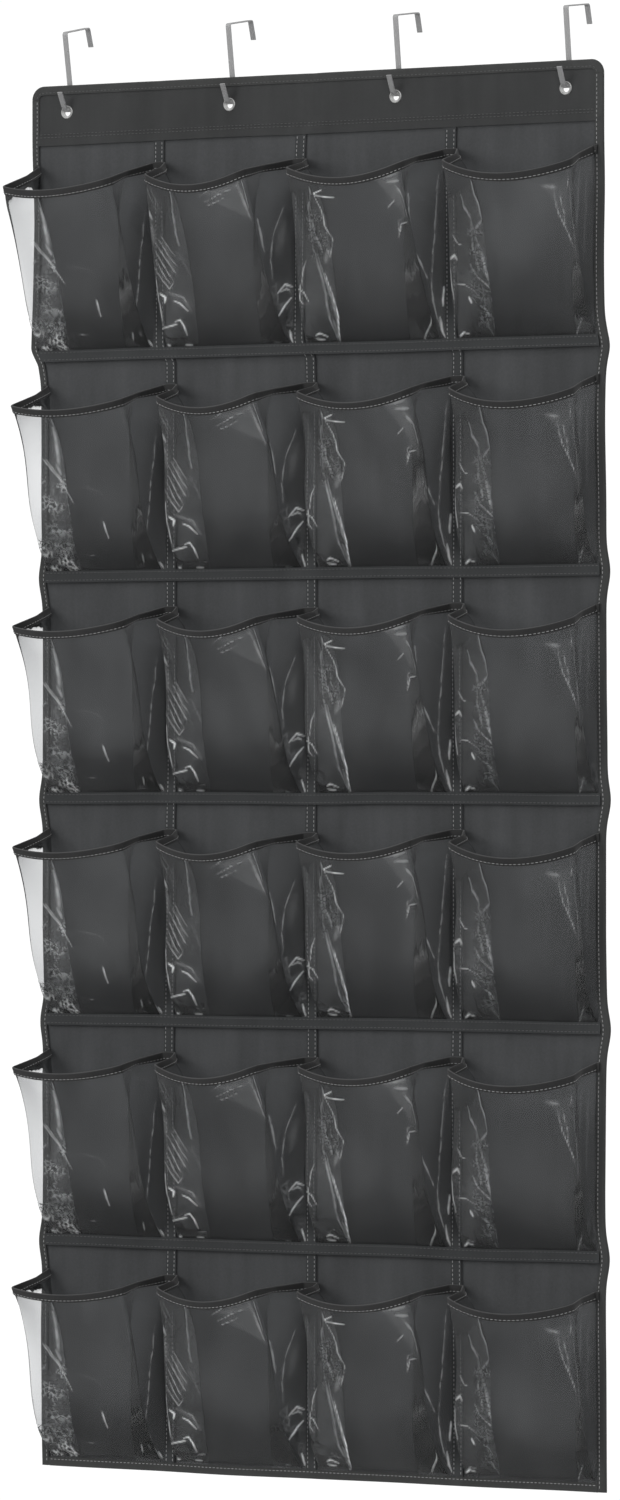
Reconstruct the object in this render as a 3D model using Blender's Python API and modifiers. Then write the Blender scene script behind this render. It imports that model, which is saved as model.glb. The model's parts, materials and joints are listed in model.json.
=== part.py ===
"""Over-the-door shoe organizer: a sewn cloth panel with rows of clear film pockets, hung on strip hooks.

Metres, +Z up. The panel's front faces -Y and the back of its cloth lies on Y = 0. The origin is at
mid-width, at the height of the top of the door that the hooks rest on.
"""

import math

import bmesh
import bpy
from mathutils import Matrix, Vector

NAME = "shoe_organizer"

# Cloth layers. Each sewn layer lies in front of the one before it, with a small gap.
CLOTH = 0.0008
GAP = 0.0003
LAYER = CLOTH + GAP

# Panel
PANEL_WIDTH = 0.680
PANEL_HEIGHT = 1.450
PANEL_TOP = -0.058  # the panel's top edge, below the top of the door
CORNER_RADIUS = 0.014  # top corners only; the bottom corners are square
HEADER_HEIGHT = 0.062
BINDING_LEG = 0.009  # how far a folded edge binding reaches in over the cloth

# Rows and columns of pockets
ROWS = 6
COLUMNS = 4
ROW_PITCH = 0.232
COLUMN_PITCH = 0.171
TAPE_HEIGHT = 0.012  # tape over the seam under each row
COLUMN_TAPE_WIDTH = 0.012

# Pockets: wedges that are flat at the seam below and stand open at the mouth
MOUTH_DROP = 0.030  # from the top of a row to the mouth's upper edge, where it is sewn down
MOUTH_TAPE_HEIGHT = 0.009
MOUTH_TAPE_THICKNESS = 0.0016
FLANGE = 0.004  # film that is sewn down under the tape beside each pocket
HEM_START = 0.003  # film's lower edge, above the bottom of the row's tape
FOLD_AT_HEM = 0.001  # width of a side gusset where it starts
FRONT_BULGE = 0.006
FRONT_SAG = 0.012
# The mouth's two front corners, by column: forward reach, distance from the side seam, and dip below it
LEFT_REACH = (0.086, 0.078, 0.078, 0.079)
LEFT_INSET = (0.0065, 0.022, 0.020, 0.025)
LEFT_DIP = (0.0160, 0.010, 0.0090, 0.009)
RIGHT_REACH = (0.078, 0.080, 0.080, 0.045)
RIGHT_INSET = (0.0085, 0.017, 0.007, 0.004)
RIGHT_DIP = (0.0125, 0.0100, 0.0090, 0.0135)

# Eyelets
EYELET_X = (-0.297, -0.099, 0.099, 0.297)
EYELET_DROP = 0.028  # centre below the panel's top edge
EYELET_BORE = 0.0040
EYELET_WALL = 0.0009
EYELET_FLANGE = 0.0072
FLANGE_HEIGHT = 0.0010
WASHER_RADIUS = 0.0074
ROUND_STEPS = 32

# Hooks: flat steel strip, bent to a wide throat for the door and a small J for the eyelet
STRIP_WIDTH = 0.006
STRIP_THICKNESS = 0.0015
THROAT = 0.045  # clear width between the legs, for a door up to 45 mm thick
BACK_LEG = 0.021
LEG_HEIGHT = 0.074  # from the centre of the J's bend to the top strip
J_RADIUS = 0.008
J_SWEEP = 160  # degrees of bend; the tip then flares away from the cloth
TIP_LENGTH = 0.0175
BEND_RADIUS = 0.0025
BACK_FLARE = 9  # degrees that the back leg stands off from the door, for it to slip over the top
J_CLEARANCE = 0.0022  # from the top of the eyelet's bore to the strip resting in it
HOOK_LEANS = (10.5, 9.0, 7.5, 7.0)  # degrees forward, loose in their eyelets

PANEL_BOTTOM = PANEL_TOP - PANEL_HEIGHT
HALF_WIDTH = PANEL_WIDTH / 2
CLOTH_INSET = LAYER  # cloth stops this far inside the binding's outer face
BARREL_FRONT = -(2 * LAYER + FLANGE_HEIGHT)
BARREL_BACK = GAP + FLANGE_HEIGHT

parts = bpy.data.collections.new(NAME)
cutters = bpy.data.collections.new(NAME + "_cutters")


def clear_scene():
    for obj in list(bpy.data.objects):
        bpy.data.objects.remove(obj, do_unlink=True)
    for collection in (parts, cutters):
        bpy.context.scene.collection.children.link(collection)


def layer_back(number):
    """Y of the back of a sewn layer; the panel's own cloth is layer 0."""
    return -number * LAYER


def row_bottom(row):
    return PANEL_BOTTOM + (ROWS - 1 - row) * ROW_PITCH


def material(name, colour, roughness, metallic=0.0, alpha=1.0):
    made = bpy.data.materials.new(name)
    made.use_nodes = True
    shader = made.node_tree.nodes["Principled BSDF"]
    shader.inputs["Base Color"].default_value = (*colour, 1.0)
    shader.inputs["Roughness"].default_value = roughness
    shader.inputs["Metallic"].default_value = metallic
    shader.inputs["Alpha"].default_value = alpha
    return made


def add_part(name, mesh, look, smooth=True):
    obj = bpy.data.objects.new(name, mesh)
    parts.objects.link(obj)
    mesh.materials.clear()
    mesh.materials.append(look)
    if smooth:
        mesh.shade_smooth()
        mesh.set_sharp_from_angle(angle=math.radians(30))
    return obj


def solidify(obj, thickness):
    shell = obj.modifiers.new("thickness", "SOLIDIFY")
    shell.thickness = thickness
    shell.offset = 0.0
    shell.use_even_offset = True


def mesh_of_curve(curve, turn=None):
    """The curve's mesh, with its caps welded and turned from the curve's own plane."""
    holder = bpy.data.objects.new(curve.name, curve)
    parts.objects.link(holder)
    graph = bpy.context.evaluated_depsgraph_get()
    mesh = bpy.data.meshes.new_from_object(holder.evaluated_get(graph))
    bpy.data.objects.remove(holder)
    bpy.data.curves.remove(curve)
    made = bmesh.new()
    made.from_mesh(mesh)
    bmesh.ops.remove_doubles(made, verts=made.verts, dist=1e-6)
    if turn is not None:
        made.transform(turn)
    made.to_mesh(mesh)
    made.free()
    return mesh


def flat_curve(name, points, closed):
    curve = bpy.data.curves.new(name, "CURVE")
    curve.dimensions = "2D"
    line = curve.splines.new("POLY")
    line.points.add(len(points) - 1)
    for point, (x, y) in zip(line.points, points):
        point.co = (x, y, 0.0, 1.0)
    line.use_cyclic_u = closed
    return curve


def arc(centre, radius, start, end, steps):
    """Points on an arc, with its angles in degrees."""
    angles = [math.radians(start + (end - start) * i / steps) for i in range(steps + 1)]
    return [(centre[0] + radius * math.cos(a), centre[1] + radius * math.sin(a)) for a in angles]


def surface(name, rows):
    """An open surface through rows of points."""
    made = bmesh.new()
    grid = [[made.verts.new(point) for point in row] for row in rows]
    for low, high in zip(grid, grid[1:]):
        for i in range(len(low) - 1):
            made.faces.new((low[i], low[i + 1], high[i + 1], high[i]))
    mesh = bpy.data.meshes.new(name)
    made.to_mesh(mesh)
    made.free()
    return mesh


# The XZ plane, facing the front, for an outline drawn in a curve's own XY plane.
FRONT_PLANE = Matrix.Rotation(math.radians(90), 4, "X")
# The YZ plane, with the curve's own Z along +X.
SIDE_PLANE = Matrix(((0, 0, 1, 0), (1, 0, 0, 0), (0, 1, 0, 0), (0, 0, 0, 1)))


def cloth_sheet(name, bottom, number, look):
    """Cloth with rounded top corners, from the panel's top edge down to a height."""
    side = HALF_WIDTH - CLOTH_INSET
    top = PANEL_TOP - CLOTH_INSET
    radius = CORNER_RADIUS - CLOTH_INSET
    outline = [(-side, bottom), (side, bottom)]
    outline += arc((side - radius, top - radius), radius, 0, 90, 6)
    outline += arc((radius - side, top - radius), radius, 90, 180, 6)
    curve = flat_curve(name, outline, closed=True)
    curve.fill_mode = "BOTH"
    curve.extrude = CLOTH / 2
    shift = Matrix.Translation((0, layer_back(number) - CLOTH / 2, 0))
    sheet = add_part(name, mesh_of_curve(curve, shift @ FRONT_PLANE), look, smooth=False)
    for x in EYELET_X:
        cut_hole(sheet, x)


def cut_hole(sheet, x):
    """A round hole for an eyelet's barrel."""
    hole = bmesh.new()
    radius = EYELET_BORE + EYELET_WALL + GAP
    bmesh.ops.create_cone(
        hole, cap_ends=True, segments=ROUND_STEPS, radius1=radius, radius2=radius, depth=0.02
    )
    mesh = bpy.data.meshes.new("eyelet_hole")
    hole.to_mesh(mesh)
    hole.free()
    cutter = bpy.data.objects.new(f"{sheet.name}_hole", mesh)
    cutters.objects.link(cutter)
    cutter.location = (x, 0.0, PANEL_TOP - EYELET_DROP)
    cutter.rotation_euler.x = math.radians(90)
    cutter.hide_render = True
    cutter.display_type = "WIRE"
    cut = sheet.modifiers.new("eyelet hole", "BOOLEAN")
    cut.operation = "DIFFERENCE"
    cut.object = cutter


def folded_binding(name, path, look):
    """Tape folded over the panel's edge. The path gives points on the edge and their inward directions."""
    front = layer_back(2) - CLOTH / 2
    back = GAP + CLOTH / 2
    fold = CLOTH / 2
    section = ((BINDING_LEG, back), (fold, back), (fold, front), (BINDING_LEG, front))
    rows = [
        [(x + inward * dx, y, z + inward * dz) for inward, y in section] for (x, z), (dx, dz) in path
    ]
    binding = add_part(name, surface(name, rows), look)
    solidify(binding, CLOTH)


def side_binding_path(side):
    top = PANEL_TOP - CORNER_RADIUS - GAP
    ends = [PANEL_BOTTOM, top] if side < 0 else [top, PANEL_BOTTOM]
    return [((side * HALF_WIDTH, z), (-side, 0.0)) for z in ends]


def top_binding_path():
    """Round one top corner, along the top edge and round the other."""
    path = []
    for side, start, end in ((-1, 180, 90), (1, 90, 0)):
        centre = (side * (HALF_WIDTH - CORNER_RADIUS), PANEL_TOP - CORNER_RADIUS)
        for x, z in arc(centre, CORNER_RADIUS, start, end, 6):
            inward = (Vector(centre) - Vector((x, z))).normalized()
            path.append(((x, z), tuple(inward)))
    return path


def bottom_binding_path():
    end = HALF_WIDTH - BINDING_LEG - GAP
    return [((x, PANEL_BOTTOM), (0.0, 1.0)) for x in (end, -end)]


def tape(name, low, high, number, look):
    """A straight tape on the given layer, between two corners in the panel's plane."""
    made = bmesh.new()
    bmesh.ops.create_cube(made, size=1.0)
    size = (high[0] - low[0], CLOTH, high[1] - low[1])
    middle = ((low[0] + high[0]) / 2, layer_back(number) - CLOTH / 2, (low[1] + high[1]) / 2)
    made.transform(Matrix.Translation(middle) @ Matrix.Diagonal((*size, 1.0)))
    mesh = bpy.data.meshes.new(name)
    made.to_mesh(mesh)
    made.free()
    add_part(name, mesh, look, smooth=False)


def pocket_sides(column):
    """Inner faces of a pocket's film where it leaves the panel, left and right."""
    left_seam = (column - COLUMNS / 2) * COLUMN_PITCH
    right_seam = left_seam + COLUMN_PITCH
    inner_edge = HALF_WIDTH - BINDING_LEG
    left = -inner_edge if column == 0 else left_seam + COLUMN_TAPE_WIDTH / 2
    right = inner_edge if column == COLUMNS - 1 else right_seam - COLUMN_TAPE_WIDTH / 2
    return left + LAYER, right - LAYER


def mouth_corners(column):
    """The mouth's left corner, middle and right corner: X, forward reach and dip below the seams."""
    left, right = pocket_sides(column)
    corner = (left + LEFT_INSET[column], LEFT_REACH[column], LEFT_DIP[column])
    fold = (right - RIGHT_INSET[column], RIGHT_REACH[column], RIGHT_DIP[column])
    middle = [(a + b) / 2 for a, b in zip(corner, fold)]
    return corner, (middle[0], middle[1] + FRONT_BULGE, middle[2] + FRONT_SAG), fold


def mouth_height(row):
    """Upper edge of the mouth where it is sewn down."""
    return row_bottom(row) + ROW_PITCH - MOUTH_DROP


def film_section(column, base, rise, share):
    """Back and front points across the film, where it has opened by a share of its mouth."""
    left, right = pocket_sides(column)
    corner, middle, fold = mouth_corners(column)
    rest = layer_back(1)
    seam_z = base + share * rise

    def opened(start, point):
        x = start + (point[0] - start) * share
        return (x, rest - point[1] * share, seam_z - point[2] * share)

    back = [
        (left - FLANGE, rest, seam_z),
        (left, rest, seam_z),
        opened(left + FOLD_AT_HEM, corner),
        opened(middle[0], middle),
        opened(right - FOLD_AT_HEM, fold),
        (right, rest, seam_z),
        (right + FLANGE, rest, seam_z),
    ]
    outward = (0, -CLOTH, -CLOTH, 0, CLOTH, CLOTH, 0)
    front = [(x + out, y - CLOTH, z) for (x, y, z), out in zip(back, outward)]
    return back, front


def pocket_film(row, column, look):
    """A loft from the flat hem at the seam to the open mouth, closed at both walls and both ends."""
    base = row_bottom(row) + TAPE_HEIGHT
    rise = mouth_height(row) - MOUTH_TAPE_HEIGHT - GAP - base
    sections = [film_section(column, row_bottom(row) + HEM_START, rise, 0.0)]
    sections += [film_section(column, base, rise, share) for share in (0.0, 0.5, 1.0)]
    made = bmesh.new()
    rings = [[[made.verts.new(p) for p in wall] for wall in section] for section in sections]
    for (back, front), (next_back, next_front) in zip(rings, rings[1:]):
        for i in range(len(back) - 1):
            made.faces.new((back[i], back[i + 1], next_back[i + 1], next_back[i]))
            made.faces.new((front[i + 1], front[i], next_front[i], next_front[i + 1]))
        for i, j in ((0, 0), (-1, -1)):
            made.faces.new((back[i], next_back[i], next_front[j], front[j]))
    for back, front in (rings[0], rings[-1]):
        for i in range(len(back) - 1):
            made.faces.new((back[i], front[i], front[i + 1], back[i + 1]))
    bmesh.ops.recalc_face_normals(made, faces=made.faces)
    name = f"pocket_r{row + 1}_c{column + 1}"
    mesh = bpy.data.meshes.new(name)
    made.to_mesh(mesh)
    made.free()
    add_part(name, mesh, look, smooth=False)


def mouth_tape(row, look):
    """Tape along the mouths of a whole row: out round each pocket and back to the seam between."""
    seam_y = layer_back(3) - MOUTH_TAPE_THICKNESS / 2
    front = layer_back(1) - CLOTH / 2
    low = mouth_height(row) - MOUTH_TAPE_HEIGHT
    end_x = HALF_WIDTH - BINDING_LEG / 2
    path = [Vector((-end_x, seam_y, low))]
    for column in range(COLUMNS):
        left, right = pocket_sides(column)
        path.append(Vector((left - CLOTH / 2, seam_y, low)))
        for x, reach, dip in mouth_corners(column):
            path.append(Vector((x, front - reach, low - dip)))
        path.append(Vector((right + CLOTH / 2, seam_y, low)))
    path.append(Vector((end_x, seam_y, low)))
    rise = Vector((0, 0, MOUTH_TAPE_HEIGHT))
    name = f"mouth_binding_row_{row + 1}"
    ribbon = add_part(name, surface(name, [path, [point + rise for point in path]]), look)
    solidify(ribbon, MOUTH_TAPE_THICKNESS)


def turned(name, profile, x, look):
    """A ring turned about the eyelet's axis. The profile's points are radius and Y, in order round it."""
    made = bmesh.new()
    points = [made.verts.new((radius, 0.0, -y)) for radius, y in profile]
    for i, point in enumerate(points):
        made.edges.new((point, points[(i + 1) % len(points)]))
    mesh = bpy.data.meshes.new(name)
    made.to_mesh(mesh)
    made.free()
    ring = add_part(name, mesh, look, smooth=False)
    ring.location = (x, 0.0, PANEL_TOP - EYELET_DROP)
    ring.rotation_euler.x = math.radians(90)
    screw = ring.modifiers.new("turn", "SCREW")
    screw.steps = screw.render_steps = ROUND_STEPS
    screw.use_merge_vertices = True
    screw.merge_threshold = 1e-6
    screw.use_smooth_shade = True


def eyelet(number, x, steel):
    """The front half: a rounded flange and the barrel that passes through the cloth."""
    outer = EYELET_BORE + EYELET_WALL
    seat = -2 * LAYER
    rim = 0.0003
    profile = [
        (EYELET_BORE, BARREL_BACK),
        (EYELET_BORE, BARREL_FRONT + rim),
        (EYELET_BORE + rim, BARREL_FRONT),
        (EYELET_FLANGE - 2 * rim, BARREL_FRONT),
        (EYELET_FLANGE, BARREL_FRONT + 2 * rim),
        (EYELET_FLANGE, seat),
        (outer, seat),
        (outer, BARREL_BACK),
    ]
    turned(f"eyelet_{number}", profile, x, steel)


def eyelet_washer(number, x, steel):
    """The back half: a flat ring round the barrel, against the back of the cloth."""
    inner = EYELET_BORE + EYELET_WALL + GAP
    chamfer = 0.0003
    profile = [
        (inner, GAP),
        (WASHER_RADIUS, GAP),
        (WASHER_RADIUS, BARREL_BACK - chamfer),
        (WASHER_RADIUS - chamfer, BARREL_BACK),
        (inner, BARREL_BACK),
    ]
    turned(f"eyelet_washer_{number}", profile, x, steel)


def hook_path():
    """Centre line of the strip, as Y and Z from the centre of the J's bend, with the hook upright."""
    far_leg = J_RADIUS + THROAT + STRIP_THICKNESS
    bend = BEND_RADIUS
    flare = math.radians(180 - J_SWEEP)
    end_angle = math.radians(-J_SWEEP)
    end = (J_RADIUS * math.cos(end_angle), J_RADIUS * math.sin(end_angle))
    tip = (end[0] - TIP_LENGTH * math.sin(flare), end[1] + TIP_LENGTH * math.cos(flare))
    back = arc((far_leg - bend, LEG_HEIGHT - bend), bend, BACK_FLARE, 90, 4)
    stand_off = math.radians(BACK_FLARE)
    leg = BACK_LEG - bend
    path = [(back[0][0] + leg * math.sin(stand_off), back[0][1] - leg * math.cos(stand_off))] + back
    path += arc((J_RADIUS + bend, LEG_HEIGHT - bend), bend, 90, 180, 4)
    path += arc((0.0, 0.0), J_RADIUS, 0, -J_SWEEP, 16)
    return path + [tip]


def hook(number, x, lean, steel):
    """A strip hook with its origin on its joint axis, leaning forward in its eyelet."""
    name = f"hook_{number}"
    curve = flat_curve(name, hook_path(), closed=False)
    curve.extrude = STRIP_WIDTH / 2
    made = add_part(name, mesh_of_curve(curve, SIDE_PLANE), steel)
    solidify(made, STRIP_THICKNESS)
    rest_z = PANEL_TOP - EYELET_DROP + EYELET_BORE - J_CLEARANCE
    pivot_z = rest_z + J_RADIUS - STRIP_THICKNESS / 2
    made.location = (x, (BARREL_FRONT + BARREL_BACK) / 2, pivot_z)
    made.rotation_euler.x = math.radians(lean)


def build_panel():
    cloth = material("panel_cloth", (0.066, 0.068, 0.070), 0.85)
    header = material("header_cloth", (0.055, 0.056, 0.056), 0.85)
    binding = material("edge_binding_cloth", (0.060, 0.061, 0.060), 0.9)
    cloth_sheet("back_panel", PANEL_BOTTOM + CLOTH_INSET, 0, cloth)
    cloth_sheet("header_band", PANEL_TOP - HEADER_HEIGHT, 1, header)
    folded_binding("binding_left", side_binding_path(-1), binding)
    folded_binding("binding_right", side_binding_path(1), binding)
    folded_binding("binding_top", top_binding_path(), binding)
    folded_binding("binding_bottom", bottom_binding_path(), binding)


def build_seam_tapes():
    look = material("seam_tape_cloth", (0.055, 0.057, 0.058), 0.9)
    end_x = HALF_WIDTH - BINDING_LEG - GAP
    for row in range(ROWS - 1):
        low = (-end_x, row_bottom(row))
        high = (end_x, row_bottom(row) + TAPE_HEIGHT)
        tape(f"row_seam_tape_{row + 1}", low, high, 3, look)
    for column in range(1, COLUMNS):
        x = (column - COLUMNS / 2) * COLUMN_PITCH
        low = (x - COLUMN_TAPE_WIDTH / 2, PANEL_BOTTOM + BINDING_LEG + GAP)
        high = (x + COLUMN_TAPE_WIDTH / 2, PANEL_TOP - HEADER_HEIGHT - GAP)
        tape(f"column_tape_{column}", low, high, 2, look)


def build_pockets():
    film = material("clear_film", (0.9, 0.9, 0.9), 0.1, alpha=0.3)
    binding = material("mouth_binding_cloth", (0.048, 0.048, 0.048), 0.9)
    for row in range(ROWS):
        for column in range(COLUMNS):
            pocket_film(row, column, film)
        mouth_tape(row, binding)


def build_hardware():
    chrome = material("eyelet_chrome", (0.80, 0.80, 0.80), 0.15, metallic=1.0)
    steel = material("hook_steel", (0.62, 0.62, 0.62), 0.35, metallic=1.0)
    for number, (x, lean) in enumerate(zip(EYELET_X, HOOK_LEANS), start=1):
        eyelet(number, x, chrome)
        eyelet_washer(number, x, chrome)
        hook(number, x, lean, steel)


def build():
    clear_scene()
    build_panel()
    build_seam_tapes()
    build_pockets()
    build_hardware()


build()
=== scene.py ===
"""Looks of the over-the-door shoe organizer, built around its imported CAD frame.

Metres, +Z up, in the frame's own axes: the panel's front faces -Y. Sewn pieces are laid out flat first, as
points (x, lift, z), where lift is the distance in front of the back of the panel's cloth. hang() then gives
them all the same gentle shape, so that layers stay together.
"""

import json
import math

import bpy
import numpy as np
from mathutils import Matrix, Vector


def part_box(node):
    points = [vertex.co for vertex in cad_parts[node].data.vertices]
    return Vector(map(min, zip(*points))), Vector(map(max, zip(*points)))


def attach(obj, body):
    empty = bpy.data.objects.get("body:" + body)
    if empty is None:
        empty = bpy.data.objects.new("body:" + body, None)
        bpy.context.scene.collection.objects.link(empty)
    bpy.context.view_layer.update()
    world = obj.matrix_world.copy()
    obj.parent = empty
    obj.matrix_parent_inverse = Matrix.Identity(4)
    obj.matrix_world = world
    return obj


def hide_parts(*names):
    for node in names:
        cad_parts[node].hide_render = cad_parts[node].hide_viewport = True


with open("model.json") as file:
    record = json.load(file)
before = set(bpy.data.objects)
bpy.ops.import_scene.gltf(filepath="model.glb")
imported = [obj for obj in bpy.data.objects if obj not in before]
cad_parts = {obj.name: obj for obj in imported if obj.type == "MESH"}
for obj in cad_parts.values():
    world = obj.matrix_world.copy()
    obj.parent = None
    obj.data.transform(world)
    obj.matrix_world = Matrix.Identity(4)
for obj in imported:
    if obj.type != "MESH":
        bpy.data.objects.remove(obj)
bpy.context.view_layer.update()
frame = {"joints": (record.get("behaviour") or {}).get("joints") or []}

ROWS = 6
COLUMNS = 4
PANEL = "panel"

# Places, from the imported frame
HALF_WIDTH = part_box("binding_right")[1].x
PANEL_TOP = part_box("binding_top")[1].z
PANEL_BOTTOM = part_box("binding_bottom")[0].z
BINDING_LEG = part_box("binding_bottom")[1].z - PANEL_BOTTOM
HEADER_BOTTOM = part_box("header_band")[0].z
SEAM_LOW = [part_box(f"row_seam_tape_{row}")[0].z for row in range(1, ROWS)] + [PANEL_BOTTOM]
TAPE_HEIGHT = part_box("row_seam_tape_1")[1].z - SEAM_LOW[0]
COLUMN_TAPES = [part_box(f"column_tape_{column}") for column in range(1, COLUMNS)]
COLUMN_TAPE_WIDTH = COLUMN_TAPES[0][1].x - COLUMN_TAPES[0][0].x
COLUMN_SEAMS = [(low.x + high.x) / 2 for low, high in COLUMN_TAPES]
EYELETS = [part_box(f"eyelet_{number}") for number in range(1, 5)]
EYELET_CENTRES = [((low.x + high.x) / 2, (low.z + high.z) / 2) for low, high in EYELETS]
EYELET_FRONT = EYELETS[0][0].y
ROW_PITCH = SEAM_LOW[0] - SEAM_LOW[1]
MOUTH_DROP = 0.030
MOUTH_HEIGHT = [low + ROW_PITCH - MOUTH_DROP for low in SEAM_LOW]
TAPE_GAP = 0.0003
TAPE_END = HALF_WIDTH - BINDING_LEG - TAPE_GAP
PANEL_MIDDLE = Vector((0.0, 0.0, (PANEL_TOP + PANEL_BOTTOM) / 2))

# Cloth
CLOTH = 0.0008
LAYER = 0.0011
CORNER_RADIUS = 0.014
CELL = 0.006

# Pocket film: the mouth's corners as in the CAD model, by column
FILM_LAYER = 0.0004
SIDE_GAP = 0.0011
LEFT_REACH = (0.086, 0.078, 0.078, 0.079)
LEFT_INSET = (0.0065, 0.022, 0.020, 0.025)
LEFT_DIP = (0.0160, 0.010, 0.0090, 0.009)
LOW_PLACE = (0.062, 0.066, 0.074, 0.076)
LOW_REACH = (0.092, 0.086, 0.086, 0.083)
LOW_DIP = (0.0220, 0.0225, 0.0215, 0.0240)
RIGHT_REACH = (0.078, 0.080, 0.080, 0.045)
RIGHT_INSET = (0.0085, 0.017, 0.007, 0.004)
RIGHT_DIP = (0.0125, 0.0100, 0.0090, 0.0135)
# How far the mouth stands above its row's height, at each seam
MOUTH_RISE = (0.0045, 0.0024, 0.0, 0.0030, 0.0005)
# Upper mouths hang open more: extra dip for each metre above mid-height and each metre of reach
DIP_BY_HEIGHT = 0.117
RIBBON_HEIGHT = 0.0090
RIBBON_HALF = 0.0012

STITCH_PITCH = 0.0045
STITCH_LENGTH = 0.0030
STITCH_RADIUS = 0.00038


# ---------------------------------------------------------------- numbers


def smoothstep(start, end, value):
    share = np.clip((value - start) / (end - start), 0.0, 1.0)
    return share * share * (3 - 2 * share)


def soft_noise(x, y, size, seed):
    """A smooth random field between -1 and 1, with features of about the given size."""
    table = np.random.default_rng(seed).uniform(-1, 1, (64, 64))
    u, v = np.asarray(x) / size, np.asarray(y) / size
    left, low = np.floor(u).astype(int), np.floor(v).astype(int)
    a, b = u - left, v - low
    a, b = a * a * (3 - 2 * a), b * b * (3 - 2 * b)
    near = table[left % 64, low % 64] * (1 - a) + table[(left + 1) % 64, low % 64] * a
    far = table[left % 64, (low + 1) % 64] * (1 - a) + table[(left + 1) % 64, (low + 1) % 64] * a
    return near * (1 - b) + far * b


def crease_net(x, y, size, seed):
    """Distance, in cells, to the nearest border between random cells: 0 on a net of straight creases."""
    table = np.random.default_rng(seed).uniform(0.1, 0.9, (64, 64, 2))
    u, v = np.asarray(x) / size, np.asarray(y) / size
    left, low = np.floor(u).astype(int), np.floor(v).astype(int)
    found = []
    for i in (-1, 0, 1):
        for j in (-1, 0, 1):
            point = table[(left + i) % 64, (low + j) % 64]
            found.append(np.hypot(left + i + point[..., 0] - u, low + j + point[..., 1] - v))
    found = np.sort(np.stack(found), axis=0)
    return found[1] - found[0]


def blur_matrix(sigma):
    """Blurs a run of samples, each by its own width in samples."""
    place = np.arange(len(sigma))
    offset = (place[None, :] - place[:, None]) / np.maximum(sigma, 1e-3)[:, None]
    weights = np.exp(-0.5 * offset**2)
    return weights / weights.sum(axis=1, keepdims=True)


def unit(vectors):
    return vectors / np.maximum(np.linalg.norm(vectors, axis=-1, keepdims=True), 1e-9)


def run_along(line):
    """Length along a line of points, at each of them."""
    return np.concatenate([[0.0], np.cumsum(np.linalg.norm(np.diff(line, axis=0), axis=1))])


def values_at(places, run, line):
    """The line's points, or vectors given along it, at those lengths along it."""
    return np.stack([np.interp(places, run, line[:, k]) for k in range(3)], axis=-1)


def band(low, high, soft, value):
    """1 between low and high, fading to 0 over their edges."""
    return smoothstep(low - soft, low + soft, value) * smoothstep(high + soft, high - soft, value)


# ---------------------------------------------------------------- shape of the hanging cloth

TOP_PULL = ((-0.34, 0.0), (-0.171, -0.0130), (0.0, -0.0140), (0.171, -0.0075), (0.34, 0.0))
LOWER_PULL = ((-0.34, 0.0130), (-0.171, 0.0), (0.0, 0.0), (0.171, 0.0), (0.34, 0.0020))

# Marks of its folding for the shop, across the header: place and depth
FOLD_MARKS = ((-0.186, 0.0018), (-0.019, 0.0012), (0.0, 0.0035), (0.172, 0.0020))


def pull(stations, x):
    places, amounts = zip(*stations)
    return np.interp(x, places, amounts)


def hang(points):
    """Points (x, lift, z) of the flat layout, moved to where the hanging cloth holds them."""
    x, lift, z = points[..., 0], points[..., 1], points[..., 2]
    below_header = smoothstep(HEADER_BOTTOM + 0.018, HEADER_BOTTOM, z)
    lower_rows = smoothstep(SEAM_LOW[0] + 0.016, SEAM_LOW[0] - 0.006, z)
    shift = below_header * (1 - lower_rows) * pull(TOP_PULL, x) + lower_rows * pull(LOWER_PULL, x)
    # Each row's seam is stiff and stands out at the sides, and each mouth draws them in.
    for row in range(ROWS - 1):
        bump = np.exp(-(((z - SEAM_LOW[row] - 0.004) / 0.020) ** 2))
        shift = shift + 0.0045 * bump * smoothstep(HALF_WIDTH - 0.05, HALF_WIDTH, x)
        shift = shift - 0.0045 * bump * smoothstep(-HALF_WIDTH + 0.05, -HALF_WIDTH, x) * lower_rows
    sway = 0.0035 * soft_noise(x + 3.1, z + 2.3, 0.21, 11) + 0.0018 * soft_noise(x, z, 0.085, 12)
    sway = sway * smoothstep(PANEL_TOP - 0.045, PANEL_TOP - 0.15, z)
    header = smoothstep(HEADER_BOTTOM - 0.03, HEADER_BOTTOM + 0.01, z)
    for place, depth in FOLD_MARKS:
        sway = sway - depth * np.exp(-np.abs(x - place) / 0.009) * header
    drop = 0.0008 * soft_noise(x + 1.0, z * 0.4 + 5.0, 0.10, 13) * below_header
    return np.stack([x + shift, -lift - sway, z + drop], axis=-1)


# ---------------------------------------------------------------- meshes


def add_mesh(name, points, faces, look, sharp=40):
    mesh = bpy.data.meshes.new(name)
    mesh.from_pydata(np.asarray(points).reshape(-1, 3).tolist(), [], faces)
    mesh.materials.append(look)
    mesh.shade_smooth()
    mesh.set_sharp_from_angle(angle=math.radians(sharp))
    piece = bpy.data.objects.new(name, mesh)
    bpy.context.scene.collection.objects.link(piece)
    return piece


def add_values(piece, name, values):
    attribute = piece.data.attributes.new(name, "FLOAT", "POINT")
    attribute.data.foreach_set("value", np.asarray(values, np.float32).ravel())


def grid_faces(rows, columns, start=0, closed=False, flip=False):
    """Faces of a grid of points stored row by row. Closed joins each row's last point to its first."""
    faces = []
    for i in range(rows - 1):
        for j in range(columns if closed else columns - 1):
            k = (j + 1) % columns
            face = (
                start + i * columns + j,
                start + i * columns + k,
                start + (i + 1) * columns + k,
                start + (i + 1) * columns + j,
            )
            faces.append(face[::-1] if flip else face)
    return faces


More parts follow.
